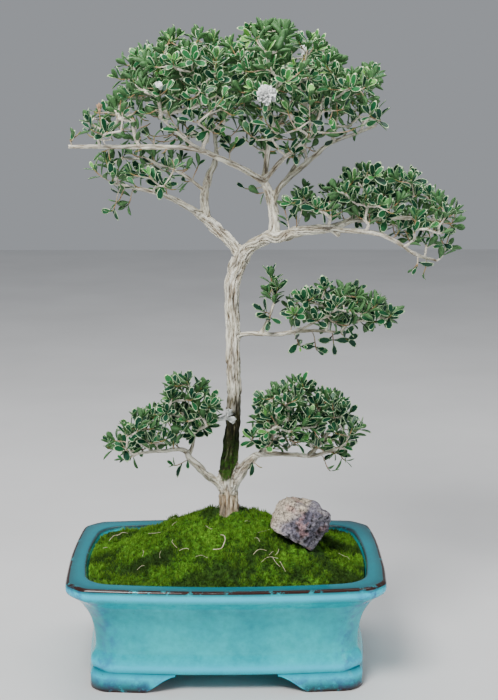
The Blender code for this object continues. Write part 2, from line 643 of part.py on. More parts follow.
def make_trunk(collection):
    """The grown wood: the root plug in the soil, the trunk and its limbs, and their skin."""
    pieces = [cylinder("trunk", (TRUNK_X, TRUNK_Y), ROOT_RADIUS, ROOT_BOTTOM, MOSS_TOP + 1,
                       ROOT_SIDES)]
    for name, route in LIMBS.items():
        limb = wooden_tube(name, route, THICK_LIMBS.get(name, 0))
        if name in THICK_LIMBS:
            limb = roughen(limb, BARK_LUMP * max(point[3] for point in route))
        pieces.append(limb)
    trunk = unite("trunk", pieces, collection)
    finish(trunk, make_material("bark"), 60)
    shape = bmesh.new()
    shape.from_mesh(trunk.data)
    skin = BVHTree.FromBMesh(shape)
    shape.free()
    return skin


# Growing shoots: rings of corners along a twig, with blades raised from its faces

def around(axis, turn):
    """A direction square to `axis`, turned about it."""
    side = axis.orthogonal().normalized()
    side.rotate(Matrix.Rotation(turn, 3, axis))
    return side


def square_to(vector, axis):
    return (vector - axis * vector.dot(axis)).normalized()


def place_ring(shape, centre, axis, first, radius, sides):
    """A ring of corners round `centre`; its first face looks along `first`."""
    half = math.pi / sides
    corners = []
    for k in range(sides):
        turn = Matrix.Rotation(2 * half * k - half, 3, axis)
        corners.append(shape.verts.new((centre + turn @ first * radius) * MM))
    return corners


def close_wall(shape, low, high, open_faces=()):
    """Faces between two rings, apart from those that a blade or a side twig grows from."""
    for k in range(len(low)):
        if k not in open_faces:
            after = (k + 1) % len(low)
            shape.faces.new((low[k], low[after], high[after], high[k]))


def blade_axes(axis, outward, blade):
    """A blade's own directions: along it, across it and square to it."""
    turn, tilt, length = blade
    outward = Matrix.Rotation(turn, 3, axis) @ outward
    way = axis * math.cos(tilt) + outward * math.sin(tilt)
    return way * length, axis.cross(outward) * length, axis * math.sin(tilt) - outward * math.cos(tilt)


def raise_blade(shape, quad, root, axis, outward, blade, form):
    """Grow a leaf or petal from an open face: two sections and a tip, split alike on both sides."""
    way, side, normal = blade_axes(axis, outward, blade)
    half = normal * form["thickness"] / 2
    section = quad
    for x, y in form["outline"]:
        middle = root + way * x + normal * form["lift"] * blade[2]
        spots = (middle - side * y - half, middle + side * y - half,
                 middle + side * y + half, middle - side * y + half)
        after = [shape.verts.new(spot * MM) for spot in spots]
        for near, far in ((0, 1), (3, 2)):
            shape.faces.new((section[near], section[far], after[far]))
            shape.faces.new((section[near], after[far], after[near]))
        for low, high in ((1, 2), (0, 3)):
            shape.faces.new((section[low], section[high], after[high]))
            shape.faces.new((section[low], after[high], after[low]))
        section = after
    tip = shape.verts.new((root + way - normal * form["droop"] * blade[2]) * MM)
    for k in range(4):
        shape.faces.new((section[k], section[(k + 1) % 4], tip))


def blade_samples(root, axis, outward, blade):
    """Points spread over the outer part of a leaf, for the tests of clearance."""
    way, side, _normal = blade_axes(axis, outward, blade)
    spots = [(x, y * (1 - 0.5 * abs(2 * x - 1)))
             for x in (0.4, 0.6, 0.8, 1.0) for y in (-0.2, 0.0, 0.2)]
    return np.array([root + way * x + side * y for x, y in spots])


# Sprays

def twig_route(start, way, reach, bend, count, base_radius):
    """A slightly bowed twig from `start` along `way`, as x, y, z, radius points."""
    route = []
    for number in range(count + 1):
        t = number / count
        spot = start + way * reach * t + bend * reach * (t * t * (1.6 - t))
        route.append((*spot, base_radius + (TWIG_TIP_RADIUS - base_radius) * t))
    return route


def route_samples(route):
    spots = [Vector(here[:3]).lerp(Vector(there[:3]), share)
             for here, there in zip(route, route[1:]) for share in (0.0, 0.25, 0.5, 0.75)]
    return np.array([*spots, Vector(route[-1][:3])])


class Room:
    """What already stands in the crown, to keep every spray clear of wood and other sprays."""

    def __init__(self, wood):
        self.wood = wood
        self.taken = {}

    def is_free(self, name, points, wood_needs):
        """`wood_needs` is how far each of the points has to stay from the wood's skin."""
        if (wood_clearance(points, self.wood) < wood_needs).any():
            return False
        for other, spots in self.taken.items():
            for block in spots:
                gap = CLEAR_OF_OWN if other == name else CLEAR_OF_OTHERS
                if np.linalg.norm(points[:, None, :] - block[None, :, :], axis=2).min() < gap:
                    return False
        return True

    def take(self, name, points):
        self.taken.setdefault(name, []).append(points)


def find_twig(room, name, start, way, reach, count, base_radius, rng, rooted_share):
    """Bend a twig until it is clear of its neighbours, or shorten it, or give up."""
    for attempt in range(90):
        bend = around(way, rng.uniform(0, math.tau)) * rng.uniform(0.0, 0.12 + 0.012 * attempt)
        length = reach * (1 - 0.006 * attempt)
        route = twig_route(start, way, length, bend, count, base_radius)
        points = route_samples(route)
        outer = points[max(2, int(len(points) * rooted_share)):]
        away = np.linalg.norm(outer - points[0], axis=1)
        needs = np.minimum(CLEAR_OF_WOOD, 0.2 + 0.3 * away)
        if room.is_free(name, outer, needs):
            room.take(name, points)
            return route
    return None


def end_axis(route):
    return (Vector(route[-1][:3]) - Vector(route[-2][:3])).normalized()


def spot_on(route, share):
    """The place, direction and radius of a twig at a share of its length."""
    place = share * (len(route) - 1)
    index = min(int(place), len(route) - 2)
    here, there = route[index], route[index + 1]
    rest = place - index
    axis = (Vector(there[:3]) - Vector(here[:3])).normalized()
    return Vector(here[:3]).lerp(Vector(there[:3]), rest), axis, here[3] + (there[3] - here[3]) * rest


def node_frames(route, shares, first):
    """At each leaf node of a twig: its place, axis, first face's direction and radius."""
    frames = []
    for share in shares:
        spot, axis, radius = spot_on(route, share)
        first = square_to(first, axis)
        frames.append((spot, axis, first, radius))
    return frames


def grow_twigs(room, plans, rng):
    """Every spray's main twig first, then a side twig from one face of its lowest node."""
    for plan in plans.values():
        route = find_twig(room, plan["name"], plan["start"], plan["way"], plan["reach"], 3,
                          TWIG_BASE_RADIUS, rng, 0.1)
        first = around(plan["way"], rng.uniform(0, math.tau))
        plan["twigs"] = [{"route": route, "nodes": node_frames(route, MAIN_NODES, first)}]
    for plan in plans.values():
        spot, axis, first, radius = plan["twigs"][0]["nodes"][0]
        for attempt in range(12):
            face = rng.randrange(4)
            outward = Matrix.Rotation(math.pi / 2 * face, 3, axis) @ first
            way = (axis * rng.uniform(0.5, 0.9) + outward + Vector((0, 0, 0.25))).normalized()
            start = spot + outward * radius
            route = find_twig(room, plan["name"], start, way, SIDE_TWIG_LENGTH, 2,
                              TWIG_TIP_RADIUS + 0.1, rng, 0.45)
            if route is not None:
                plan["side_face"] = face
                frames = node_frames(route, (1.0,), -axis)
                plan["twigs"].append({"route": route, "nodes": frames})
                break


def bloom_twigs(plan):
    return {shape["twig"] for shape in BLOOMS.values() if shape["on"] == plan["name"]}


def grow_leaf(room, name, spot, axis, outward, radius, lean, rng):
    """One leaf in free air on the asked face, or none where its neighbours leave no room."""
    for attempt in range(14):
        length = rng.uniform(*LEAF_LENGTH) * (1 - 0.02 * attempt)
        blade = (rng.uniform(-0.22, 0.22), lean + rng.uniform(-0.22, 0.22), length)
        root = spot + outward * radius * 0.7
        points = blade_samples(root, axis, outward, blade)
        if room.is_free(name, points, CLEAR_OF_WOOD):
            room.take(name, points)
            return {"root": root, "axis": axis, "outward": outward, "blade": blade}
    return None


def grow_leaves(room, plans, rng):
    """Leaves on the faces of each node: pairs along a twig, a rosette of four at its end."""
    for plan in plans.values():
        bearing = bloom_twigs(plan)
        for number, twig in enumerate(plan["twigs"]):
            for place, (spot, axis, first, radius) in enumerate(twig["nodes"]):
                last = place == len(twig["nodes"]) - 1
                faces = range(4) if last else (place % 2, place % 2 + 2)
                if last and number in bearing:
                    faces = ()
                if number == 0 and place == 0 and "side_face" in plan:
                    faces = ((plan["side_face"] + 2) % 4,)
                leaves = {}
                for face in faces:
                    outward = Matrix.Rotation(math.pi / 2 * face, 3, axis) @ first
                    leaf = grow_leaf(room, plan["name"], spot, axis, outward, radius,
                                     ROSETTE_LEAN if last else PAIR_LEAN, rng)
                    if leaf is not None:
                        leaves[face] = leaf
                twig.setdefault("leaves", []).append(leaves)


def grow_twig_mesh(shape, twig, base_ring, side_face=None):
    """The walls of one twig with its leaves; returns the quad that its side twig grows from."""
    low = base_ring
    side_quad = None
    for place, (spot, axis, first, radius) in enumerate(twig["nodes"]):
        leaves = twig["leaves"][place]
        near = place_ring(shape, spot - axis * NODE_HEIGHT / 2, axis, first, radius, 4)
        far = place_ring(shape, spot + axis * NODE_HEIGHT / 2, axis, first, radius, 4)
        close_wall(shape, low, near)
        open_faces = set(leaves)
        if place == 0 and side_face is not None:
            open_faces.add(side_face)
        close_wall(shape, near, far, open_faces)
        for face in open_faces:
            after = (face + 1) % 4
            quad = [near[face], near[after], far[after], far[face]]
            if face in leaves:
                leaf = leaves[face]
                raise_blade(shape, quad, leaf["root"], leaf["axis"], leaf["outward"],
                            leaf["blade"], LEAF)
            else:
                side_quad = quad
        low = far
    shape.faces.new(low)
    return side_quad


def make_spray(plan, collection, material):
    """A leafy spray grown as one closed mesh: main twig, side twig and all their leaves."""
    shape = bmesh.new()
    main = plan["twigs"][0]
    spot, _axis, radius = spot_on(main["route"], 0.0)
    first = square_to(main["nodes"][0][2], plan["way"])
    base = place_ring(shape, spot, plan["way"], first, radius, 4)
    shape.faces.new(list(reversed(base)))
    side_quad = grow_twig_mesh(shape, main, base, plan.get("side_face"))
    if side_quad is not None:
        grow_twig_mesh(shape, plan["twigs"][1], side_quad)
    name = "spray_" + plan["name"]
    finish(make_object(name, bmesh_to_mesh(name, shape), collection), material)


# Blooms

def make_bloom(name, shape_plan, twig, collection, material):
    """A flower on the end of a twig: a tube with rings of petals raised from its faces."""
    axis = end_axis(twig["route"])
    base = Vector(twig["route"][-1][:3]) + axis * (SEAT_GAP + NODE_HEIGHT / 2)
    first = around(axis, 0.0)
    shape = bmesh.new()
    sides = shape_plan["sides"]
    low = None
    for away, radius, petals in shape_plan["tube"]:
        centre = base + axis * away
        if low is None:
            low = place_ring(shape, centre, axis, first, radius, sides)
            shape.faces.new(list(reversed(low)))
            continue
        high = place_ring(shape, centre, axis, first, radius, sides)
        close_wall(shape, low, high, range(sides) if petals else ())
        if petals:
            length, tilt, turn = petals
            for face in range(sides):
                after = (face + 1) % sides
                outward = Matrix.Rotation(math.tau * face / sides, 3, axis) @ first
                quad = [low[face], low[after], high[after], high[face]]
                root = centre - axis * NODE_HEIGHT / 2 + outward * radius * 0.8
                blade = (turn, math.radians(tilt), length)
                raise_blade(shape, quad, root, axis, outward, blade, PETAL)
        low = high
    shape.faces.new(low)
    finish(make_object(name, bmesh_to_mesh(name, shape), collection), material)


def reserve_blooms(room, plans):
    """Keep the air at each bloom's seat free before the leaves grow."""
    for name, shape in BLOOMS.items():
        route = plans[shape["on"]]["twigs"][shape["twig"]]["route"]
        axis = end_axis(route)
        base = Vector(route[-1][:3]) + axis * SEAT_GAP
        spots = [base + axis * away for away in np.arange(0.0, shape["tube"][-1][0] + 1.0, 2.5)]
        for away, _radius, petals in shape["tube"]:
            if petals:
                length, tilt, _turn = petals
                lean = math.radians(tilt)
                for turn in np.arange(0, math.tau, math.tau / 12):
                    way = axis * math.cos(lean) + around(axis, turn) * math.sin(lean)
                    spots += [base + axis * away + way * reach for reach in (3.0, 5.5, length + 1)]
        room.take(f"bloom_{name}", np.array(spots))


def make_blooms(collection, plans):
    materials = {}
    for name, shape in BLOOMS.items():
        colour = shape["colour"]
        if colour not in materials:
            materials[colour] = make_material(colour)
        twig = plans[shape["on"]]["twigs"][shape["twig"]]
        make_bloom(f"bloom_{name}", shape, twig, collection, materials[colour])


def centre_over_origin(collection):
    """Move every part so that the whole object's box is centred over the origin."""
    corners = [part.matrix_world @ vert.co for part in collection.objects
               for vert in part.data.vertices]
    shift = Vector((0, 0, 0))
    for axis in (0, 1):
        values = [corner[axis] for corner in corners]
        shift[axis] = -(min(values) + max(values)) / 2
    shift.z = -min(corner.z for corner in corners)
    for part in collection.objects:
        part.data.transform(Matrix.Translation(shift))


def main():
    clear_scene()
    rng = random.Random(SEED)
    parts = make_collection("serissa_bonsai")
    make_pot(parts)
    make_screens(parts)
    make_soil(parts)
    stone = make_object("stone", stone_mesh(), parts)
    finish(stone, make_material("stone"), 60)
    make_moss(parts, stone.data)
    plans = plan_sprays(make_trunk(parts))
    room = Room(limb_segments(LIMBS.values()))
    grow_twigs(room, plans, rng)
    reserve_blooms(room, plans)
    grow_leaves(room, plans, rng)
    make_sprays(parts, plans)
    make_blooms(parts, plans)
    centre_over_origin(parts)


main()
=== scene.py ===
"""Looks of a serissa bonsai in its glazed pot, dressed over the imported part.

Shapes are worked out in millimetres from the pot's centre on the standing surface, with +Z up
and -Y towards the viewer, and are moved to the row frame when a mesh is made.
"""

import math
import random

import bmesh
import bpy
import numpy as np
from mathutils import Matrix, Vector, noise
from mathutils.kdtree import KDTree


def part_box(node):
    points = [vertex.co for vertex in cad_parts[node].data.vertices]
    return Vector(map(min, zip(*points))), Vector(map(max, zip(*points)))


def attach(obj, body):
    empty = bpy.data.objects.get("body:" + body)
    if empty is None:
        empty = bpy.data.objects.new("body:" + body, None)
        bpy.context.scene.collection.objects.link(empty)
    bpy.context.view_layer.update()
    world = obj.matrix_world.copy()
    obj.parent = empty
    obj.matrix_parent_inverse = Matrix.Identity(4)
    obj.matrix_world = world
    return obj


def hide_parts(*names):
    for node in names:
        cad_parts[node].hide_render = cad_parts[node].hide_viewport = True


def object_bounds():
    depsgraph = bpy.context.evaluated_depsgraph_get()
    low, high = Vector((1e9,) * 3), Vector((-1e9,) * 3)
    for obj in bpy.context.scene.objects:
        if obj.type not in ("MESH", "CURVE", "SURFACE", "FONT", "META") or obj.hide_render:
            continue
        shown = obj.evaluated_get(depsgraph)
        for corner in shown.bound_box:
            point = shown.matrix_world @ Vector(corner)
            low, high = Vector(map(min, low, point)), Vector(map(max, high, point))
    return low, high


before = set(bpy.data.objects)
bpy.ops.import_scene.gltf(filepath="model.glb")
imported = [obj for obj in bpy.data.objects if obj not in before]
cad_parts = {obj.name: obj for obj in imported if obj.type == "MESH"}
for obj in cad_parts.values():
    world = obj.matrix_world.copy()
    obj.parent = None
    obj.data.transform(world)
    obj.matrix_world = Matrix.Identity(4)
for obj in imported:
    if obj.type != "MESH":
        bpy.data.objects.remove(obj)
CAD_BOX = [list(corner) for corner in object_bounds()]

MM = 0.001
POT_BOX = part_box("pot")
SHIFT_X = (POT_BOX[0].x + POT_BOX[1].x) / 2 / MM
BOX_LOW, BOX_HIGH = (np.array(corner) / MM - (SHIFT_X, 0.0, 0.0) for corner in CAD_BOX)
SEED = 11

# Camera, in the pot's millimetres
CAMERA_PLACE = (4.35, -1155.1, 496.36)
CAMERA_PITCH = 0.1904
CAMERA_YAW = 0.013
CAMERA_LENS = 72.0

# Pot
POT_HALF_LENGTH = 134.0
POT_HALF_DEPTH = 94.0
POT_SIDE_BOW = 3.5
POT_FRONT_BOW = 4.5
RIM_SAG = 1.6
HAND_WAVE = 0.7
POT_CHAMFER = 15.0
OPENING_RADIUS = 24.0
OUTER_PROFILE = (  # inset from the rim's edge, height
    (21.5, 15.0), (18.6, 16.4), (17.5, 18.6), (17.0, 21.6), (17.4, 25.0), (19.2, 28.4),
    (20.5, 32.0), (21.0, 37.0), (20.8, 43.0), (20.0, 50.0), (18.8, 57.0), (16.6, 64.0),
    (13.6, 70.5), (10.2, 76.5), (6.0, 81.4), (2.2, 84.8), (0.6, 87.4), (0.0, 90.2), (0.3, 93.6),
    (1.5, 95.5), (3.2, 96.0),
)
INNER_PROFILE = (
    (9.0, 95.8), (13.0, 95.7), (14.4, 94.8), (15.2, 92.5), (16.6, 86.0), (18.6, 78.0),
    (24.5, 60.0), (29.0, 27.0),
)
FOOT_TOP = 17.0
FOOT_INSET = 17.2
FOOT_THICKNESS = 13.4
FOOT_FRONT_REACH = 71.0
FOOT_SIDE_REACH = 50.0
FOOT_SOLE_SHARE = 0.58
DRAIN_X = 55.0
DRAIN_RADIUS = 8.0

# Moss and stone
TRUNK_X, TRUNK_Y = 2.0, 2.0
MOSS_TOP = 132.0
MOSS_EDGE = 92.0
MOSS_FLOOR = 84.3
MOSS_INSET = 16.4
MOSS_ROWS = 92
MOSS_SHOOTS = 41000
SHOOT_HEIGHTS = (1.7, 4.2)
SHOOT_RADII = (0.34, 0.60)
SHOOT_FACES = ((2, 1, 0), (0, 1, 3), (1, 2, 3), (2, 0, 3))
FIBRES = 34
FIBRE_RADII = (0.11, 0.20)
TENDRIL_RADIUS = 0.36
TENDRIL = (  # x, y, and height over the moss
    (-5, -38, 3.2), (-2, -41, 4.6), (-1, -44, 4.2), (-2, -47, 3.4), (-4, -50, 2.8),
    (-8, -51, 2.0), (-11, -50, 1.0))
TRUNK_HOLE = 6.5
MOSS_REACH_X = 80.0
MOSS_REACH_Y = 70.0
TUFTS_PER_MM = 0.20
STONE_CENTRE = (64.4, -20.0, 128.6)
STONE_REACH = 31.0
STONE_SHARE = 0.91
STONE_ROUGHNESS = 0.09
STONE_FOOTPRINT = (22.0, 17.0)
STONE_FACES = (  # the way that each broken face looks, and how far it lies from the middle
    ((0.28, -0.10, 0.95), 18.5), ((0.95, -0.15, -0.20), 23.5), ((0.75, -0.20, -0.60), 22.5),
    ((-0.52, -0.10, -0.85), 17.0), ((-0.83, -0.10, 0.53), 25.0), ((0.68, 0.10, 0.70), 22.5),
    ((-0.25, -0.85, 0.45), 17.0), ((0.45, -0.85, -0.25), 17.5), ((-0.30, 0.90, 0.20), 17.0),
    ((0.40, 0.85, 0.30), 18.0), ((0.00, 0.20, -1.00), 20.5),
)

# Wood: each limb's route as x, y, z and radius
TRUNK_FOOT = ((2, 2, 84.6, 11.0), (2, 2, 100, 11.0), (2, 2, 110, 10.4))
SKIN_VOXEL = 0.85
THICK_LIMB = 3.5
LIMBS = {
    "trunk": [
        (2, 2, 118, 9.6), (2, 2, 132, 9.0), (2, 2, 144, 8.4), (1, 2, 158, 9.2), (2, 2, 171, 8.3),
        (4, 2, 186, 7.6), (5, 1, 204, 6.8), (6, 0, 222, 6.5), (7, -1, 240, 6.2), (6, -1, 265, 6.2),
        (6, 0, 291, 6.2), (5, 1, 316, 6.3), (5, 1, 329, 6.7), (8, 1, 340, 7.2), (12, 0, 350, 7.1),
        (15, 0, 359, 6.0)],
    "left_limb": [
        (14, 0, 351, 6.0), (7, 3, 361, 5.2), (-2, 6, 370, 5.0), (-11, 9, 378, 5.0),
        (-18, 10, 384, 4.2), (-28, 6, 391, 3.1), (-38, 0, 398, 2.8), (-52, -8, 405, 2.3),
        (-70, -14, 410, 1.8), (-90, -16, 414, 1.2)],
    "left_upright": [
        (-15, 10, 381, 4.2), (-17, 12, 391, 4.0), (-18, 14, 401, 3.7), (-16, 16, 410, 3.5),
        (-13, 20, 420, 3.1), (-9, 24, 428, 2.8), (-8, 32, 440, 2.1), (-10, 42, 459, 1.7),
        (-16, 52, 480, 1.3)],
    "left_low": [
        (-19, 14, 407, 1.9), (-29, 4, 416, 1.6), (-40, -6, 424, 1.4), (-53, -14, 429, 1.2),
        (-64, -20, 435, 1.0)],
    "right_limb": [
        (14, 0, 351, 6.0), (20, -2, 361, 5.4), (28, -4, 366, 5.4), (37, -6, 370, 5.6),
        (46, -8, 370, 5.1), (57, -10, 374, 4.7), (68, -12, 376, 4.3), (79, -12, 377, 4.1),
        (89, -10, 378, 3.6)],
    "right_arch_up": [
        (86, -10, 377, 3.4), (101, -2, 382, 3.0), (109, 4, 386, 2.6), (117, 12, 393, 2.2),
        (126, 20, 401, 1.7), (137, 26, 407, 1.3)],
    "right_arch_low": [
        (86, -10, 377, 3.2), (100, -20, 376, 2.4), (113, -26, 376, 2.2), (125, -28, 374, 2.0),
        (138, -28, 368, 1.8), (150, -24, 360, 1.7), (160, -20, 355, 1.5), (173, -16, 351, 1.1)],
    "right_arch_mid": [
        (102, -2, 382, 2.2), (120, -10, 384, 2.0), (139, -14, 386, 1.7), (158, -10, 385, 1.5),
        (176, -6, 383, 1.1)],
    "right_cut": [
        (86, -10, 377, 2.7), (93, -14, 371, 2.3)],
    "right_upright": [
        (40, -6, 369, 4.7), (40, -5, 380, 4.7), (39, -3, 391, 4.5), (37, 0, 402, 4.1),
        (33, 2, 411, 3.7), (31, 3, 417, 3.4)],
    "cross_limb": [
        (32, 2, 414, 3.2), (25, -6, 419, 3.0), (17, -12, 424, 2.8), (6, -18, 430, 2.7),
        (-5, -22, 435, 2.6), (-16, -24, 440, 2.2), (-26, -26, 446, 1.6), (-39, -30, 456, 1.2),
        (-51, -34, 467, 0.9)],
    "left_stub": [
        (-14, -24, 439, 2.0), (-31, -28, 443, 2.2), (-52, -28, 444, 2.2), (-76, -26, 444, 2.1),
        (-104, -22, 444, 1.9), (-126, -18, 444, 1.6)],
    "top_leader": [
        (31, 3, 414, 3.0), (33, 4, 424, 2.7), (34, 4, 435, 2.5), (36, 2, 446, 2.3),
        (39, 0, 456, 2.0), (36, -4, 473, 1.7), (30, -8, 490, 1.4), (25, -8, 508, 1.0)],
    "leader_right": [
        (36, 2, 447, 1.8), (43, 10, 459, 1.6), (52, 18, 474, 1.4), (60, 22, 488, 1.2),
        (67, 22, 501, 0.9)],
    "right_rise": [
        (32, 3, 415, 2.5), (41, -6, 427, 2.2), (49, -14, 436, 2.0), (60, -22, 445, 1.8),
        (69, -28, 456, 1.6), (75, -32, 470, 1.3), (77, -34, 483, 0.9)],
    "right_sweep": [
        (39, -3, 396, 2.9), (43, 2, 407, 2.7), (49, 6, 414, 2.7), (60, 10, 423, 2.5),
        (75, 12, 436, 2.3), (86, 12, 445, 2.1), (104, 8, 452, 1.6), (124, 4, 460, 1.1)],
    "back_rise": [
        (48, 6, 413, 2.2), (59, 26, 427, 2.1), (67, 42, 442, 1.9), (70, 52, 458, 1.5),
        (69, 58, 476, 1.1)],
    "mid_branch": [
        (6, 0, 285, 2.7), (19, -2, 288, 2.2), (30, -4, 288, 2.1), (45, -4, 288, 2.0),
        (62, -2, 290, 1.8), (81, 0, 290, 1.5), (96, 2, 288, 1.2)],
    "mid_stalk": [
        (29, -4, 288, 1.8), (36, -4, 303, 1.5), (40, -4, 314, 1.2)],
    "mid_up": [
        (58, -2, 290, 1.6), (68, -10, 296, 1.4), (81, -16, 304, 1.2), (97, -18, 309, 1.0)],
    "low_left": [
        (2, 2, 150, 4.1), (-11, 0, 161, 3.6), (-18, -3, 167, 3.4), (-25, -6, 176, 3.4),
        (-31, -8, 182, 3.2), (-34, -8, 188, 2.5), (-41, -12, 191, 1.9), (-50, -16, 191, 1.8),
        (-60, -18, 191, 1.6), (-74, -18, 189, 1.2)],
    "low_left_up": [
        (-32, -8, 185, 2.4), (-29, -4, 191, 1.9), (-27, 2, 203, 1.6), (-29, 6, 216, 1.3)],
    "low_right": [
        (2, 2, 148, 4.7), (10, 0, 163, 4.7), (15, -2, 172, 4.7), (21, -4, 180, 4.2),
        (26, -5, 184, 3.2), (35, -6, 185, 2.5), (47, -7, 185, 2.3), (60, -8, 185, 2.1),
        (72, -8, 184, 2.1), (87, -10, 188, 1.7), (98, -12, 192, 1.3)],
    "low_right_fork": [
        (70, -8, 184, 2.1), (76, -4, 189, 2.1), (83, 0, 197, 2.0), (90, 4, 208, 1.6)],
    "low_right_up": [
        (26, -5, 183, 2.5), (34, 4, 189, 2.1), (44, 10, 195, 2.0), (61, 14, 202, 1.7),
        (74, 16, 212, 1.2)],
    "low_right_in": [
        (30, -5, 185, 1.9), (38, -10, 198, 1.6), (42, -14, 213, 1.2)],
}

# Pads of foliage: the front outline as x, z at the trunk's depth, the middle depth, the half
# depth, how far the leaves reach below the pad's skin, and the distance between shoot tips
PADS = {
    "crown": {
        "outline": [
            (-119, 446), (-121, 462), (-107, 471), (-88, 484), (-79, 494), (-86, 508), (-80, 517),
            (-67, 519), (-56, 532), (-34, 535), (-18, 535), (-7, 532), (2, 526), (12, 535),
            (25, 546), (42, 546), (50, 541), (57, 535), (77, 531), (92, 519), (98, 508),
            (108, 504), (116, 510), (125, 503), (122, 484), (136, 470), (127, 459), (104, 453),
            (84, 444), (73, 434), (60, 430), (49, 433), (30, 438), (12, 440), (-8, 442),
            (-37, 444), (-86, 444)],
        "middle": 0.0, "half_depth": 72.0, "edge": 60.0, "skin": 48.0, "spacing": 13.5,
        "bare_below": 490.0, "bare_share": 0.7,
        "limbs": [
            "left_upright", "cross_limb", "left_stub", "top_leader", "leader_right", "right_rise",
            "right_sweep", "back_rise", "left_low"]},
    "under_left": {
        "outline": [
            (-104, 442), (-108, 421), (-91, 412), (-62, 405), (-42, 402), (-28, 412), (-18, 424),
            (-14, 437), (-62, 442)],
        "middle": -8.0, "half_depth": 34.0, "edge": 26.0, "skin": 40.0, "spacing": 15.0,
        "bare_below": 446.0, "bare_share": 0.55,
        "limbs": [
            "left_limb", "left_low", "left_stub"]},
    "upper_right": {
        "outline": [
            (64, 411), (74, 399), (86, 414), (93, 421), (104, 425), (122, 427), (131, 429),
            (137, 422), (151, 425), (163, 413), (178, 403), (193, 395), (198, 386), (192, 376),
            (194, 366), (190, 357), (181, 352), (156, 360), (134, 368), (116, 377), (94, 384),
            (70, 386), (54, 391), (47, 399), (56, 401)],
        "middle": -2.0, "half_depth": 46.0, "edge": 34.0, "skin": 40.0, "spacing": 13.0,
        "bare_below": 402.0, "bare_share": 0.6,
        "limbs": [
            "right_limb", "right_arch_up", "right_arch_low", "right_arch_mid"]},
    "middle_right": {
        "outline": [
            (53, 323), (63, 321), (76, 329), (86, 332), (94, 331), (104, 329), (124, 323),
            (133, 314), (145, 306), (144, 300), (131, 293), (112, 291), (92, 293), (70, 296),
            (52, 298), (48, 303), (50, 313)],
        "middle": -4.0, "half_depth": 34.0, "edge": 22.0, "skin": 40.0, "spacing": 12.5,
        "bare_below": 308.0, "bare_share": 0.5,
        "limbs": [
            "mid_branch", "mid_up"]},
    "lower_left": {
        "outline": [
            (-109, 184), (-104, 194), (-90, 206), (-82, 216), (-66, 228), (-50, 237), (-51, 248),
            (-44, 254), (-34, 254), (-29, 248), (-14, 245), (-8, 234), (-4, 224), (-5, 210),
            (-19, 206), (-26, 198), (-36, 190), (-50, 186), (-65, 185), (-91, 182)],
        "middle": -8.0, "half_depth": 38.0, "edge": 24.0, "skin": 40.0, "spacing": 12.5,
        "bare_below": 214.0, "bare_share": 0.5,
        "limbs": [
            "low_left", "low_left_up"]},
    "lower_right": {
        "outline": [
            (15, 197), (21, 209), (24, 230), (29, 236), (40, 240), (48, 243), (54, 251), (64, 249),
            (73, 243), (82, 239), (93, 236), (100, 232), (108, 213), (119, 208), (119, 203),
            (112, 196), (104, 184), (87, 178), (71, 186), (58, 186), (40, 184), (28, 186)],
        "middle": -2.0, "half_depth": 42.0, "edge": 24.0, "skin": 40.0, "spacing": 12.5,
        "bare_below": 216.0, "bare_share": 0.6,
        "limbs": [
            "low_right", "low_right_fork", "low_right_up", "low_right_in"]},
}
# Single shoots outside the pads: the pad that they count to, the limb that they grow from,
# and their tips
SINGLES = (
    ("under_left", "left_limb", [(-88, -18, 399), (-80, -10, 396), (-92, -22, 392)]),
    ("crown", "left_stub", [(-124, -22, 450)]),
    ("crown", "right_upright", [(24, 4, 405), (16, 0, 409)]),
    ("upper_right", "right_limb", [(48, -8, 396), (58, -14, 388)]),
    ("upper_right", "right_arch_low", [(162, -18, 340), (156, -24, 347)]),
    ("upper_right", "right_limb", [(66, 8, 408)]),
    ("middle_right", "mid_stalk", [(37, -4, 339), (43, -8, 328), (35, 2, 322), (41, -2, 316)]),
    ("middle_right", "mid_branch", [
        (62, -12, 279), (76, -10, 275), (90, -6, 280), (102, -6, 283)]),
    ("middle_right", "mid_stalk", [(31, -8, 308), (36, -10, 300)]),
    ("lower_right", "low_right", [(30, -16, 176), (88, -14, 172), (101, -10, 180)]),
    ("lower_left", "low_left", [(-44, -16, 178), (-86, -18, 184)]),
)
# The tips of the solids' own shoots, so that every solid has its foliage here
SOLID_TIPS = {
    "crown": [
        (-116, -18, 456), (-104, -28, 472), (-86, -14, 498), (-62, -38, 510), (-54, 8, 522),
        (-66, 36, 482), (-31, -14, 521), (-44, -60, 490), (-14, 36, 514), (-26, -64, 467),
        (-11, 62, 484), (8, -62, 470), (4, -20, 514), (21, -22, 528), (36, 2, 537), (56, 16, 522),
        (32, 52, 504), (74, -12, 520), (90, 26, 502), (110, 2, 498), (124, 4, 474), (94, -44, 475),
        (83, 56, 460)],
    "upper_right": [
        (60, 6, 396), (87, -30, 411), (107, 32, 413), (129, -8, 417), (157, 26, 408),
        (177, -14, 397), (190, 6, 376), (154, -18, 345)],
    "middle_right": [
        (40, -4, 330), (64, -24, 319), (90, 14, 320), (124, -16, 312)],
    "lower_left": [
        (-84, -18, 209), (-64, -2, 221), (-39, 8, 243), (-49, -40, 207)],
    "lower_right": [
        (28, -14, 230), (52, 14, 238), (82, 20, 230), (104, -6, 220)],
    "under_left": [
        (-106, -18, 426), (-76, -34, 424)],
}
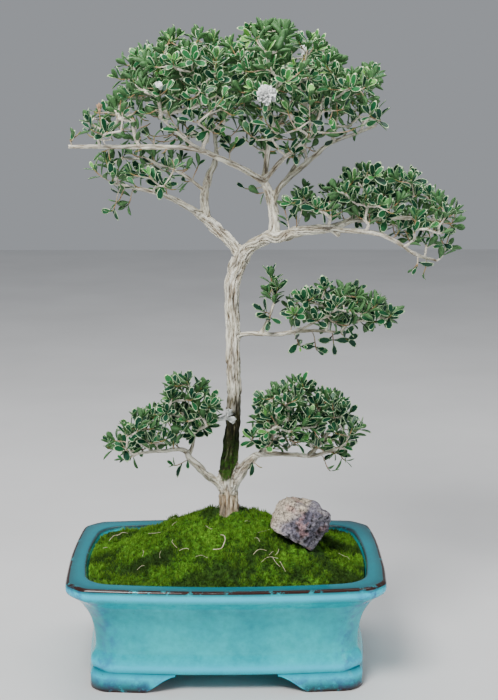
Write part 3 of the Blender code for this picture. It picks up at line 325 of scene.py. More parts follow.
# Blooms: pad and limb of the twig, the twig's end, and the way that it points
BLOOMS = {
    "double": ("crown", "top_leader", (32.0, -72.5, 484.2), (-0.074, -0.96, 0.27)),
    "funnel": ("lower_left", "low_left_up", (-9.8, -18.8, 217.0), (0.86, -0.36, 0.36)),
    "drooping": ("crown", "leader_right", (62.6, 29.4, 513.0), (0.353, 0.498, 0.792)),
    "bud": ("crown", "cross_limb", (-49.9, -49.7, 489.2), (-0.061, -0.852, 0.52)),
    "dry_calyx": ("crown", "left_stub", (-100.8, -15.4, 471.1), (-0.038, 0.529, 0.848)),
}
BLOOM_MIDDLE = 6.0
BLOOM_CLEARING = 7.0
BARE_DEPTH = 24.0
PAD_TRIES = 9000
TIP_CLEARANCE = 5.0
TWIG_STEP = 4.0
TWIG_TIP_RADIUS = 0.48
TWIG_MOST_RADIUS = 1.7
TWIG_SIDES = 5

# Leaves
LEAF_SECTIONS = (  # share of a leaf's length and its half width there; the tip closes it
    (0.0, 0.022), (0.16, 0.068), (0.40, 0.190), (0.66, 0.222), (0.88, 0.142))
LEAF_MARGIN = 0.032
LEAF_THICKNESS = 0.028
LEAF_PAIRS = (  # distance back from a shoot's tip, lean from its axis in degrees, length
    (0.2, 22, 8.2), (1.4, 44, 11.0), (4.2, 58, 13.0), (8.6, 66, 13.2), (13.6, 72, 12.4),
    (19.0, 78, 11.0))
BLOOM_LEAVES_SKIPPED = 4
YOUNG_SHARE = 0.28
MISSING_SHARE = 0.12
PALE_SHARE = 0.05
CROWN_FOOT = 430.0
CROWN_RISE = 110.0
# The crown's leaves are four pieces, parted at these x
CROWN_PARTS = ("crown_left", "crown_middle", "crown_right", "crown_far_right")
CROWN_LIMITS = (-math.inf, -45, 15, 68, math.inf)
# How the solids' sprays that each piece of leaves stands for begin their names
SPRAY_STARTS = {
    "crown_left": ("spray_crown_left",), "crown_middle": ("spray_crown_mid",),
    "crown_right": ("spray_crown_top", "spray_double"),
    "crown_far_right": ("spray_crown_right",), "under_left": ("spray_under_left",),
    "upper_right": ("spray_upper_right",), "middle_right": ("spray_middle_right",),
    "lower_left": ("spray_lower_left", "spray_funnel"), "lower_right": ("spray_lower_right",),
}

# Light: name, place and size in metres, power, colour
LAMPS = (
    ("key", (-0.55, -1.05, 1.55), (0.7, 0.5), 46.0, (1.0, 0.985, 0.96)),
    ("fill", (1.3, -0.9, 0.8), (1.0, 1.0), 7.0, (0.93, 0.96, 1.0)),
    ("top", (0.1, 0.25, 1.7), (1.2, 0.8), 18.0, (1.0, 1.0, 1.0)),
)
LAMP_TARGET = (0.0, 0.0, 0.28)
ROOM_COLOUR = (0.82, 0.86, 0.92, 1.0)
ROOM_LIGHT = 0.38


# Making meshes

def clamp(value):
    """A value held between 0 and 1."""
    return max(0.0, min(1.0, value))


def to_row(points):
    """Millimetres from the pot's centre, as metres in the row frame."""
    return (np.asarray(points, float) + (SHIFT_X, 0.0, 0.0)) * MM


def place_in_scene(name, data):
    thing = bpy.data.objects.new(name, data)
    bpy.context.scene.collection.objects.link(thing)
    return thing


def smooth_faces(mesh):
    mesh.polygons.foreach_set("use_smooth", np.ones(len(mesh.polygons), bool))


def add_piece(name, points, faces, materials, replaced=(), slot=None, face_materials=None,
              smooth=True):
    """A piece of the object from points in millimetres, with the solids that it stands for."""
    mesh = bpy.data.meshes.new(name)
    mesh.from_pydata(to_row(points).tolist(), [], faces)
    for material in materials:
        mesh.materials.append(material)
    if face_materials is not None:
        mesh.polygons.foreach_set("material_index", np.asarray(face_materials, np.int32))
    if smooth:
        smooth_faces(mesh)
    mesh.update()
    thing = place_in_scene(name, mesh)
    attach(thing, "root")
    if replaced:
        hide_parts(*replaced)
    return thing


def set_attribute(thing, name, values, kind="FLOAT"):
    """Values by point that a material reads by name."""
    data = thing.data.attributes.new(name, kind, "POINT")
    key = "value" if kind == "FLOAT" else "vector"
    data.data.foreach_set(key, np.asarray(values, np.float32).ravel())


def read_vectors(mesh, key):
    values = np.empty(len(mesh.vertices) * 3)
    mesh.vertices.foreach_get(key, values)
    return values.reshape(-1, 3)


def grid_faces(rows, columns, wrap=True):
    """Quads between rows of points; the columns close on themselves when `wrap` is set."""
    return [(i * columns + j, i * columns + (j + 1) % columns,
             (i + 1) * columns + (j + 1) % columns, (i + 1) * columns + j)
            for i in range(rows - 1) for j in range(columns if wrap else columns - 1)]


def capped_faces(rows, columns):
    """Faces of closed rows with a cap over the first and the last."""
    last = (rows - 1) * columns
    return grid_faces(rows, columns) + [tuple(reversed(range(columns))),
                                        tuple(range(last, last + columns))]


def ring_faces(rows, columns):
    """Faces of closed rows with the last joined to the first."""
    last = (rows - 1) * columns
    return grid_faces(rows, columns) + [(last + j, last + (j + 1) % columns, (j + 1) % columns, j)
                                        for j in range(columns)]


def around(items):
    """Each item with the next one; the last goes with the first."""
    return zip(items, items[1:] + items[:1])


def smooth_line(points, steps):
    """Points through a row of control points, as a Catmull-Rom curve with `steps` a stretch."""
    control = np.asarray(points, float)
    before = np.vstack([2 * control[0] - control[1], control, 2 * control[-1] - control[-2]])
    made = []
    for k in range(1, len(before) - 2):
        a, b, c, d = before[k - 1:k + 3]
        for step in range(steps):
            t = step / steps
            made.append(0.5 * (2 * b + (c - a) * t + (2 * a - 5 * b + 4 * c - d) * t * t
                               + (3 * b - a - 3 * c + d) * t ** 3))
    made.append(control[-1])
    return np.array(made)


def join_parts(parts):
    """The points and faces of several meshes as those of one."""
    points, faces, total = [], [], 0
    for part_points, part_faces in parts:
        points.append(part_points)
        faces += [tuple(index + total for index in face) for face in part_faces]
        total += len(part_points)
    return np.vstack(points), faces


def search_tree(places):
    tree = KDTree(len(places))
    for number, place in enumerate(places):
        tree.insert(place, number)
    tree.balance()
    return tree


def face_outward(mesh):
    shape = bmesh.new()
    shape.from_mesh(mesh)
    bmesh.ops.recalc_face_normals(shape, faces=shape.faces)
    shape.to_mesh(mesh)
    shape.free()


def unit(vectors):
    length = np.linalg.norm(vectors, axis=-1, keepdims=True)
    return vectors / np.maximum(length, 1e-9)


def directions(line):
    return unit(np.gradient(line, axis=0))


def lengths_along(line):
    steps = np.linalg.norm(np.diff(line, axis=0), axis=1)
    return np.concatenate([[0.0], np.cumsum(steps)])


def dots(one, other):
    """Row by row dot products."""
    return np.einsum("ij,ij->i", one, other)


def level(line, value):
    """A line with one value, such as its height or radius, added to each of its points."""
    return np.column_stack([line, np.full(len(line), value)])


# Materials

class Look:
    """A Principled material with short calls for its nodes; coordinates are in millimetres."""

    def __init__(self, name, roughness=0.6):
        self.material = bpy.data.materials.new(name)
        self.material.use_nodes = True
        self.tree = self.material.node_tree
        self.shader = self.tree.nodes["Principled BSDF"]
        self.put("Roughness", roughness)
        self.place = self.scaled(self.node("TexCoord").outputs["Object"], (1 / MM,) * 3)

    def feed(self, socket, value):
        """A number, a vector or a colour on a socket, or a link to it."""
        if isinstance(value, (int, float)):
            socket.default_value = value
        elif isinstance(value, tuple):
            socket.default_value = (*value, 1.0)[:len(socket.default_value)]
        else:
            self.tree.links.new(value, socket)

    def node(self, kind, inputs=None):
        node = self.tree.nodes.new("ShaderNode" + kind)
        for key, value in (inputs or {}).items():
            self.feed(node.inputs[key], value)
        return node

    def put(self, key, value):
        self.feed(self.shader.inputs[key], value)

    def scaled(self, source, scale):
        return self.node("Mapping", {"Scale": scale, "Vector": source}).outputs["Vector"]

    def attribute(self, name, output="Fac"):
        node = self.node("Attribute")
        node.attribute_name = name
        return node.outputs[output]

    def noise(self, scale, detail=4.0, place=None, rough=0.55):
        return self.node("TexNoise", {"Scale": scale, "Detail": detail, "Roughness": rough,
                                      "Vector": place or self.place}).outputs["Fac"]

    def cells(self, scale):
        return self.node("TexVoronoi", {"Scale": scale, "Vector": self.place}).outputs["Distance"]

    def ramp(self, source, stops):
        """Colours or greys at places along 0 to 1."""
        node = self.node("ValToRGB", {"Fac": source})
        elements = node.color_ramp.elements
        while len(elements) < len(stops):
            elements.new(0.5)
        for element, (spot, colour) in zip(elements, stops):
            element.position = spot
            element.color = (*(colour if isinstance(colour, tuple) else (colour,) * 3), 1.0)
        return node.outputs["Color"]

    def cloud(self, scale, stops, detail=4.0, place=None, rough=0.55):
        """Soft noise through a ramp."""
        return self.ramp(self.noise(scale, detail, place, rough), stops)

    def mix(self, share, one, other, kind="MIX"):
        node = self.node("Mix")
        node.data_type = "RGBA"
        node.blend_type = kind
        for key, value in ((0, share), (6, one), (7, other)):
            self.feed(node.inputs[key], value)
        return node.outputs[2]

    def shaded(self, colour, shade):
        return self.mix(1.0, colour, shade, "MULTIPLY")

    def sum(self, one, other, kind="ADD"):
        node = self.node("Math", {0: one, 1: other})
        node.operation = kind
        return node.outputs[0]

    def times(self, one, other):
        return self.sum(one, other, "MULTIPLY")

    def height(self):
        """The z coordinate in millimetres."""
        return self.node("SeparateXYZ", {0: self.place}).outputs[2]

    def span(self, source, low, high):
        """0 at `low` to 1 at `high`, held at the ends."""
        return self.node("MapRange", {"From Min": low, "From Max": high,
                                      "Value": source}).outputs["Result"]

    def bump(self, source, distance, strength=1.0):
        node = self.node("Bump", {"Strength": strength, "Distance": distance * MM,
                                  "Height": source})
        self.put("Normal", node.outputs["Normal"])


def glaze_look():
    look = Look("turquoise_glaze", 0.16)
    base = look.cloud(0.018, [
        (0.30, (0.001, 0.290, 0.350)), (0.48, (0.002, 0.390, 0.460)),
        (0.62, (0.006, 0.480, 0.540)), (0.78, (0.001, 0.350, 0.450))], 5, rough=0.6)
    streak = look.cloud(0.16, [(0.35, 0.86), (0.65, 1.08)], 6, rough=0.65)
    base = look.shaded(base, streak)
    # painted highlight: lighter cyan on the crests of the lip and the base moulding, and painted
    # light on the feet's upper part
    base = look.mix(look.times(look.attribute("painted_light"), 0.9), base, (0.008, 0.62, 0.86))
    mottle = look.cloud(0.13, [(0.44, 0.0), (0.60, 1.0)], 6, rough=0.7)
    purple = look.times(look.attribute("corner"), mottle)
    base = look.mix(look.times(purple, 0.8), base, (0.045, 0.09, 0.32))
    base = look.mix(look.times(look.attribute("top"), 0.9), base, (0.002, 0.135, 0.175))
    broken = look.cloud(0.10, [(0.34, 0.30), (0.44, 1.0)], 6, rough=0.7)
    base = look.mix(look.times(look.attribute("edge"), broken), base, (0.026, 0.010, 0.008))
    pits = look.ramp(look.cells(0.09), [(0.020, 1.0), (0.055, 0.0)])
    base = look.mix(look.times(pits, 0.55), base, (0.06, 0.03, 0.02))
    look.put("Base Color", base)
    look.put("Roughness", look.cloud(0.05, [(0.3, 0.10), (0.7, 0.20)], 4))
    look.put("Specular IOR Level", 0.24)
    look.put("Coat Weight", 0.08)
    look.put("Coat Roughness", 0.06)
    look.bump(look.noise(0.035, 5), 1.2, 0.5)
    return look.material


def screen_look():
    look = Look("screen_mesh", 0.6)
    look.put("Base Color", look.cloud(0.5, [(0.3, 0.015), (0.7, 0.05)]))
    look.bump(look.noise(1.5), 0.2)
    return look.material


def soil_look():
    look = Look("potting_soil", 0.95)
    look.put("Base Color", look.cloud(0.35, [
        (0.3, (0.02, 0.012, 0.008)), (0.7, (0.12, 0.08, 0.05))], 6, rough=0.7))
    look.bump(look.noise(0.6, 6), 1.5)
    return look.material


def moss_look():
    look = Look("moss", 0.9)
    green = look.cloud(0.030, [
        (0.30, (0.016, 0.055, 0.004)), (0.46, (0.045, 0.140, 0.008)),
        (0.60, (0.085, 0.235, 0.014)), (0.80, (0.130, 0.320, 0.022))], 4, rough=0.6)
    fine = look.cloud(0.32, [(0.38, 0.10), (0.50, 0.70), (0.64, 1.7)], 6, rough=0.8)
    green = look.shaded(green, fine)
    green = look.mix(look.times(look.attribute("tip"), 0.75), green, (0.26, 0.50, 0.040))
    # darker moss in patches, with painted shade in the gaps between the tufts
    green = look.mix(look.times(look.attribute("dark_and_shade"), 0.78), green, (0.010, 0.026, 0.004))
    look.put("Base Color", green)
    look.put("Specular IOR Level", 0.2)
    look.bump(look.noise(0.9, 5), 0.8)
    return look.material


def stone_look():
    look = Look("lava_stone", 0.88)
    base = look.cloud(0.055, [
        (0.34, (0.040, 0.036, 0.055)), (0.44, (0.13, 0.12, 0.165)), (0.54, (0.28, 0.26, 0.31)),
        (0.68, (0.50, 0.46, 0.46))], 5, rough=0.62)
    # painted light: paler cream on the stone's upper left, the side towards the key lamp, in
    # patches
    base = look.mix(look.times(look.attribute("cream"), 0.85), base, (0.66, 0.56, 0.43))
    pink = look.cloud(0.10, [(0.52, 0.0), (0.64, 1.0)], 4)
    base = look.mix(look.times(pink, 0.5), base, (0.40, 0.19, 0.16))
    speck = look.cloud(0.45, [(0.38, 0.10), (0.50, 0.8), (0.64, 1.45)], 6, rough=0.75)
    base = look.shaded(base, speck)
    # painted shade: the sunk holes coloured near black
    base = look.mix(look.attribute("pit_shade"), base, (0.018, 0.015, 0.015))
    look.put("Base Color", base)
    look.bump(look.noise(0.9, 6, rough=0.7), 0.9)
    return look.material


def bark_look():
    look = Look("bark", 0.85)
    grain = look.scaled(look.attribute("grain", "Vector"), (1.0, 1.0, 0.16))
    streak = look.noise(0.42, 6, grain, 0.62)
    base = look.ramp(streak, [
        (0.34, (0.13, 0.10, 0.065)), (0.43, (0.42, 0.36, 0.27)), (0.51, (0.76, 0.72, 0.60)),
        (0.68, (0.93, 0.91, 0.82))])
    blotch = look.cloud(0.05, [(0.42, 0.0), (0.62, 1.0)], 4)
    base = look.mix(look.times(blotch, 0.35), base, (0.58, 0.58, 0.44))
    # painted shade: the carved cracks coloured dark
    base = look.mix(look.times(look.attribute("crack_shade"), 0.95), base, (0.060, 0.036, 0.020))
    height = look.height()
    wobble = look.sum(look.times(look.noise(0.06, 4), 40.0), height)
    rises = look.span(wobble, 178, 184)
    falls = look.span(wobble, 262, 238)
    zone = look.times(look.times(rises, falls), look.attribute("thick"))
    wet = look.cloud(0.35, [
        (0.40, (0.006, 0.006, 0.003)), (0.54, (0.030, 0.026, 0.010)), (0.62, (0.12, 0.11, 0.05)),
        (0.70, (0.46, 0.43, 0.32))], 6, grain, 0.7)
    base = look.mix(zone, base, wet)
    green = look.cloud(0.34, [(0.42, 0.0), (0.54, 1.0)], 6, rough=0.7)
    low = look.times(zone, look.span(height, 206, 178))
    base = look.mix(look.times(green, low), base, (0.030, 0.085, 0.004))
    buff = look.times(look.span(height, 162, 148), look.attribute("thick"))
    flaky = look.cloud(0.26, [
        (0.40, (0.050, 0.032, 0.018)), (0.50, (0.30, 0.21, 0.12)),
        (0.62, (0.72, 0.62, 0.45))], 6, grain, 0.7)
    base = look.mix(look.times(buff, 0.8), base, flaky)
    look.put("Base Color", base)
    look.put("Specular IOR Level", 0.3)
    look.bump(look.noise(0.9, 6, grain, 0.7), 0.5, 0.8)
    return look.material


def twig_look():
    look = Look("twig_bark", 0.75)
    base = look.ramp(look.attribute("age"), [
        (0.0, (0.16, 0.20, 0.04)), (0.18, (0.34, 0.19, 0.08)), (0.40, (0.52, 0.44, 0.32)),
        (0.75, (0.80, 0.74, 0.62))])
    speck = look.cloud(0.9, [(0.30, 0.55), (0.66, 1.12)], 5)
    base = look.shaded(base, speck)
    look.put("Base Color", base)
    look.bump(look.noise(1.6, 4), 0.2)
    return look.material


def leaf_looks():
    """Upper side, cream margin and paler underside of the leaves."""
    upper = Look("leaf_green", 0.42)
    # green from dark to light by random tone, and by painted light that pales the higher leaves
    base = upper.ramp(upper.attribute("tone_and_light"), [
        (0.0, (0.001, 0.016, 0.009)), (0.38, (0.003, 0.048, 0.022)), (0.66, (0.022, 0.160, 0.045)),
        (1.0, (0.170, 0.430, 0.080))])
    vein = upper.cloud(0.6, [(0.34, 0.78), (0.68, 1.18)], 4)
    upper.put("Base Color", upper.shaded(base, vein))
    upper.put("Specular IOR Level", 0.22)
    margin = Look("leaf_margin", 0.5)
    # the margin is also made paler by painted light high in the crown
    base = margin.ramp(margin.attribute("tone_and_light"), [
        (0.0, (0.30, 0.44, 0.24)), (0.5, (0.54, 0.70, 0.42)), (1.0, (0.62, 0.80, 0.38))])
    spot = margin.cloud(0.5, [(0.36, 0.78), (0.62, 1.08)], 4)
    margin.put("Base Color", margin.shaded(base, spot))
    under = Look("leaf_underside", 0.6)
    base = under.cloud(0.6, [(0.34, (0.045, 0.13, 0.040)), (0.66, (0.080, 0.21, 0.065))], 4)
    under.put("Base Color", base)
    return [upper.material, margin.material, under.material]


def petal_look(name, low, high, roughness=0.55):
    look = Look(name, roughness)
    look.put("Base Color", look.cloud(0.35, [(0.32, low), (0.66, high)], 5))
    look.bump(look.noise(1.2, 4), 0.15)
    return look.material


# Pot

def plan_line(inset, corner, roundness):
    """The pot's plan at an inset, as an even line of points with softened corners."""
    half_x = POT_HALF_LENGTH - POT_SIDE_BOW - inset
    half_y = POT_HALF_DEPTH - POT_FRONT_BOW - inset
    quarter = []
    for step in range(13):
        t = step / 12
        straight = np.array((half_x - corner * t, half_y - corner * (1 - t)))
        turn = math.pi / 2 * t
        arc = (np.array((half_x - corner, half_y - corner))
               + corner * np.array((math.cos(turn), math.sin(turn))))
        quarter.append(straight * (1 - roundness) + arc * roundness)
    side = [np.array((half_x + POT_SIDE_BOW * (1 - s * s), (half_y - corner) * s))
            for s in np.linspace(-1, 1, 42)[1:-1]]
    front = [np.array(((half_x - corner) * s, half_y + POT_FRONT_BOW * (1 - s * s)))
             for s in np.linspace(1, -1, 60)[1:-1]]
    half = side + quarter + front + [np.array((-p[0], p[1])) for p in reversed(quarter)]
    points = np.array(half + [-p for p in half])
    for _ in range(2):
        points = 0.5 * points + 0.25 * (np.roll(points, 1, 0) + np.roll(points, -1, 0))
    return points


def pot_line(kind, inset, height):
    """One row of the pot's skin; the hands that pressed the clay left it a little uneven."""
    corner, roundness = (POT_CHAMFER, 0.25) if kind == "outer" else (OPENING_RADIUS, 1.0)
    line = plan_line(inset, corner, roundness)
    wave = np.array([noise.noise(Vector((x * 0.02, y * 0.02, height * 0.02)))
                     for x, y in line])
    if kind == "outer":
        line = line + unit(line) * (wave * HAND_WAVE)[:, None]
    sag = (RIM_SAG * clamp((height - 70) / 20)
           * np.clip(1 - (line[:, 0] / POT_HALF_LENGTH) ** 2, 0, 1))
    sag = sag * np.clip(-line[:, 1] / POT_HALF_DEPTH, 0, 1)
    return np.column_stack([line, height + wave * 0.3 - sag])


def pot_marks(kind, inset, height, line):
    """What steers the glaze on a row: its corners, the painted highlight on the crests of the lip
    and the base moulding, the rim's top, bare edges.
    """
    away = (np.abs(line[:, 0]) / (POT_HALF_LENGTH - inset)
            * (np.abs(line[:, 1]) / (POT_HALF_DEPTH - inset)))
    painted_light = edge = 0.0
    if kind == "outer":
        # painted highlight on the crest of the lip and of the base moulding
        lip = math.exp(-((height - 89.5) / 3.0) ** 2) if inset < 4 else 0.0
        painted_light = max(lip, 0.9 * math.exp(-((height - 21.5) / 3.6) ** 2))
        if height > 92.6:
            edge = 1.0 if height > 94.2 and inset < 3.0 else 0.45
    elif height > 93.0:
        edge = 0.9 * math.exp(-(inset - 14.4) ** 2)
    top = 1.0 if (inset > 3.0 and height > 95.2) else 0.0
    return {"corner": np.clip((away - 0.72) / 0.12, 0, 1), "painted_light": np.full(len(line), painted_light),
            "top": np.full(len(line), top), "edge": np.full(len(line), edge)}


def make_pot(material):
    rows, marks = [], []
    for kind, profile in (("outer", OUTER_PROFILE), ("inner", INNER_PROFILE)):
        for inset, height in smooth_line(profile, 4):
            rows.append(pot_line(kind, inset, height))
            marks.append(pot_marks(kind, inset, height, rows[-1]))
    points = np.vstack(rows)
    pot = add_piece("pot_body", points, capped_faces(len(rows), len(rows[0])), [material],
                    ["pot"], "glazed_ceramic")
    for side in (-1, 1):
        drill(pot, side * DRAIN_X)
    tree = search_tree(to_row(points))
    source = [tree.find(vert.co)[1] for vert in pot.data.vertices]
    for name in marks[0]:
        set_attribute(pot, name, np.concatenate([mark[name] for mark in marks])[source])
    pot.data.set_sharp_from_angle(angle=math.radians(60))


def drill(thing, x):
    """A drain hole through the pot's floor."""
    bpy.ops.mesh.primitive_cylinder_add(vertices=40, radius=DRAIN_RADIUS * MM, depth=0.06,
                                        location=((x + SHIFT_X) * MM, 0, 0.02))
    cut(thing, bpy.context.object)


def cut(thing, tool):
    modifier = thing.modifiers.new("Cut", "BOOLEAN")
    modifier.operation = "DIFFERENCE"
    modifier.solver = "EXACT"
    modifier.object = tool
    bake(thing)
    bpy.data.objects.remove(tool, do_unlink=True)


def bake(thing):
    """Apply a thing's modifiers to its mesh."""
    depsgraph = bpy.context.evaluated_depsgraph_get()
    made = bpy.data.meshes.new_from_object(thing.evaluated_get(depsgraph))
    thing.modifiers.clear()
    thing.data = made


def foot_void(corner, reach):
    """Outline of the opening between two feet, which sweep up to the pot in a soft S."""
    sole = corner - reach * FOOT_SOLE_SHARE
    rest = reach * (1 - FOOT_SOLE_SHARE)
    points = [(sole + 1.0, -5.0)]
    for step in range(17):
        t = step / 16
        points.append((sole - rest * t, (FOOT_TOP - 2.6) * t * t * (3 - 2 * t)))
    points.append((corner - reach - 0.5, FOOT_TOP + 2))
    return points + [(-x, z) for x, z in reversed(points)]


def make_feet(material):
    rings = [level(plan_line(FOOT_INSET + inward, POT_CHAMFER * 0.75, 0.35), height)
             for inward, height in ((0.6, 0.0), (0.0, 1.2), (0.0, 12.5), (1.0, 14.5),
                                    (2.0, FOOT_TOP), (FOOT_THICKNESS, FOOT_TOP),
                                    (FOOT_THICKNESS, 0.0))]
    feet = add_piece("pot_feet", np.vstack(rings), ring_faces(len(rings), len(rings[0])),
                     [material], [], "glazed_ceramic")
    corner_x = POT_HALF_LENGTH - POT_SIDE_BOW - FOOT_INSET
    corner_y = POT_HALF_DEPTH - POT_FRONT_BOW - FOOT_INSET
    for corner, reach, turned in ((corner_x, FOOT_FRONT_REACH, False),
                                  (corner_y, FOOT_SIDE_REACH, True)):
        outline = foot_void(corner, reach)
        points = [(end, x, z) if turned else (x, end, z)
                  for end in (-2 * POT_HALF_LENGTH, 2 * POT_HALF_LENGTH) for x, z in outline]
        mesh = bpy.data.meshes.new("void")
        mesh.from_pydata(to_row(points).tolist(), [], capped_faces(2, len(outline)))
        face_outward(mesh)
        cut(feet, place_in_scene("void", mesh))
    bevel = feet.modifiers.new("Soften", "BEVEL")
    bevel.width = 1.6 * MM
    bevel.segments = 3
    bevel.limit_method = "ANGLE"
    bevel.angle_limit = math.radians(50)
    bake(feet)
    heights = np.array([vert.co.z / MM for vert in feet.data.vertices])
    falls = np.array([-vert.normal.z for vert in feet.data.vertices])
    bare = np.maximum(np.clip(1.9 - heights / 2.0, 0, 1), np.clip((falls - 0.15) / 0.3, 0, 1))
    set_attribute(feet, "edge", bare)
    # painted light: the feet turn lighter cyan upwards from near the floor
    set_attribute(feet, "painted_light", np.clip((heights - 3) / 5, 0, 1) * 0.6)
    set_attribute(feet, "corner", np.clip(1.5 - heights / 12, 0, 1))
    set_attribute(feet, "top", np.clip((heights - 13.5) / 2.5, 0, 1))
    smooth_faces(feet.data)
    feet.data.set_sharp_from_angle(angle=math.radians(50))


# Moss

def moss_height(x, y, edge):
    """Height of the mound; `edge` is 0 at the trunk and 1 at the pot's wall."""
    away = ((x - TRUNK_X) / MOSS_REACH_X) ** 2 + ((y - TRUNK_Y) / MOSS_REACH_Y) ** 2
    swell = math.exp(-away) * (1 - edge ** 4)
    lumps = noise.noise(Vector((x, y, 0)) * 0.07) + 0.6 * noise.noise(Vector((x, y, 9)) * 0.17)
    return MOSS_EDGE + (MOSS_TOP - MOSS_EDGE) * swell + 2.2 * lumps * (1 - edge ** 6)


def moss_relief(x, y, edge):
    """Cushions and fine tufts over the mound."""
    cushion = noise.voronoi(Vector((x, y, 3)) * 0.075)[0]
    dome = 1 - min(1.0, cushion[0] * 1.25) ** 2
    small = noise.voronoi(Vector((x, y, 5)) * TUFTS_PER_MM)[0]
    bead = 1 - min(1.0, small[0] * 1.2) ** 2
    fine = noise.noise(Vector((x, y, 1)) * 0.5)
    return (3.2 * (dome - 0.6) + 2.4 * (bead - 0.6) + 0.9 * fine) * (1 - edge ** 8)


def moss_point(near, far, edge):
    """A point of the moss between the trunk and the wall."""
    spot = near * (1 - edge) + far * edge
    return spot[0], spot[1], moss_height(*spot, edge) + moss_relief(*spot, edge)


def is_under_stone(x, y, reach=0.86):
    away = (((x - STONE_CENTRE[0]) / STONE_FOOTPRINT[0]) ** 2
            + ((y - STONE_CENTRE[1]) / STONE_FOOTPRINT[1]) ** 2)
    return away < reach ** 2


def make_moss(material, rng):
    outer = plan_line(MOSS_INSET, OPENING_RADIUS, 1.0)
    centre = np.array((TRUNK_X, TRUNK_Y))
    inner = centre + unit(outer - centre) * TRUNK_HOLE
    rows = [[moss_point(near, far, (number / MOSS_ROWS) ** 0.85)
             for near, far in zip(inner, outer)] for number in range(MOSS_ROWS + 1)]
    rows += [[(x, y, MOSS_FLOOR) for x, y, _z in row] for row in (rows[-1], rows[0])]
    points = np.array([spot for row in rows for spot in row])
    moss = add_piece("moss_bed", points, ring_faces(len(rows), len(outer)), [material],
                     ["moss"], "moss")
    set_attribute(moss, "tip", np.zeros(len(points)))
    set_attribute(moss, "dark_and_shade", [moss_dark(x, y) for x, y, _z in points])
    make_moss_shoots(material, inner, outer, rng)


def moss_dark(x, y):
    """Older, darker moss in patches, most of all at the front and right, with painted shade in the
    gaps between the tufts.
    """
    patch = noise.noise(Vector((x * 0.035, y * 0.035, 20)))
    side = 0.25 * clamp((x - 10) / 60) + 0.15 * clamp((-y - 20) / 40)
    # painted shade: darker in the gaps between the tufts
    gap = noise.voronoi(Vector((x, y, 5)) * TUFTS_PER_MM)[0][0]
    between = 0.75 * clamp((gap - 0.38) / 0.3)
    return clamp((patch + side - 0.16) * 2.8 + between)


def make_moss_shoots(material, inner, outer, rng):
    """Short pointed shoots all over the moss, in tufts."""
    parts, tips, darks = [], [], []
    columns = len(outer)
    for _ in range(MOSS_SHOOTS):
        j = rng.random() * columns
        low, share = int(j), j - int(j)
        near = inner[low] * (1 - share) + inner[(low + 1) % columns] * share
        far = outer[low] * (1 - share) + outer[(low + 1) % columns] * share
        reach = math.sqrt(rng.uniform(0.06 ** 2, 0.99 ** 2))
        x, y, z = moss_point(near, far, reach)
        if is_under_stone(x, y):
            continue
        # each tuft is a star of shoots that lean away from its middle
        gaps, middles = noise.voronoi(Vector((x, y, 5)) * TUFTS_PER_MM)
        middle = middles[0] / TUFTS_PER_MM
        gap = min(1.0, gaps[0])
        height = rng.uniform(*SHOOT_HEIGHTS) * (1.2 - 0.75 * gap)
        lean = (0.15 + 1.25 * gap) * rng.uniform(0.5, 1.15)
        turn = math.atan2(y - middle.y, x - middle.x) + rng.uniform(-0.9, 0.9)
        away = (math.cos(turn) * math.sin(lean), math.sin(turn) * math.sin(lean), math.cos(lean))
        wide = rng.uniform(*SHOOT_RADII)
        spins = [turn + math.tau * k / 3 for k in range(3)]
        foot = [(x + wide * math.cos(spin), y + wide * math.sin(spin), z - 0.5) for spin in spins]
        point = (x + away[0] * height, y + away[1] * height, z + away[2] * height)
        parts.append(([*foot, point], SHOOT_FACES))
        tips += [0.0, 0.0, 0.0, rng.uniform(0.45, 1.0) * (1.2 - gap)]
        darks += [moss_dark(x, y)] * 4
    shoots = add_piece("moss_shoots", *join_parts(parts), [material], [], "moss", smooth=False)
    set_attribute(shoots, "tip", tips)
    set_attribute(shoots, "dark_and_shade", darks)


def make_fibres(rng):
    """Dry pale fibres on the moss, and one curled tendril in front of the trunk."""
    straw = Look("straw", 0.8)
    straw.put("Base Color", straw.cloud(0.5, [
        (0.35, (0.42, 0.34, 0.20)), (0.65, (0.74, 0.68, 0.50))], 4))
    lines = [TENDRIL]
    for _ in range(FIBRES):
        x, y = rng.uniform(-105, 105), rng.uniform(-66, 40)
        turn, reach = rng.uniform(0, math.tau), rng.uniform(5, 16)
        bend = rng.uniform(-0.8, 0.8)
        lines.append([(x + reach * t * math.cos(turn + bend * t),
                       y + reach * t * math.sin(turn + bend * t),
                       0.3 + 0.9 * math.sin(math.pi * t)) for t in (0, 0.25, 0.5, 0.75, 1.0)])
    parts = []
    for number, line in enumerate(lines):
        if any(is_under_stone(x, y, 1.2) for x, y, _z in line):
            continue
        thick = TENDRIL_RADIUS if number == 0 else rng.uniform(*FIBRE_RADII)
        route = smooth_line([(x, y, moss_height(x, y, 0.4) + z + 0.8) for x, y, z in line], 4)
        parts.append(tube(level(route, thick), 5))
    add_piece("moss_fibres", *join_parts(parts), [straw.material], [], "moss")


# Stone

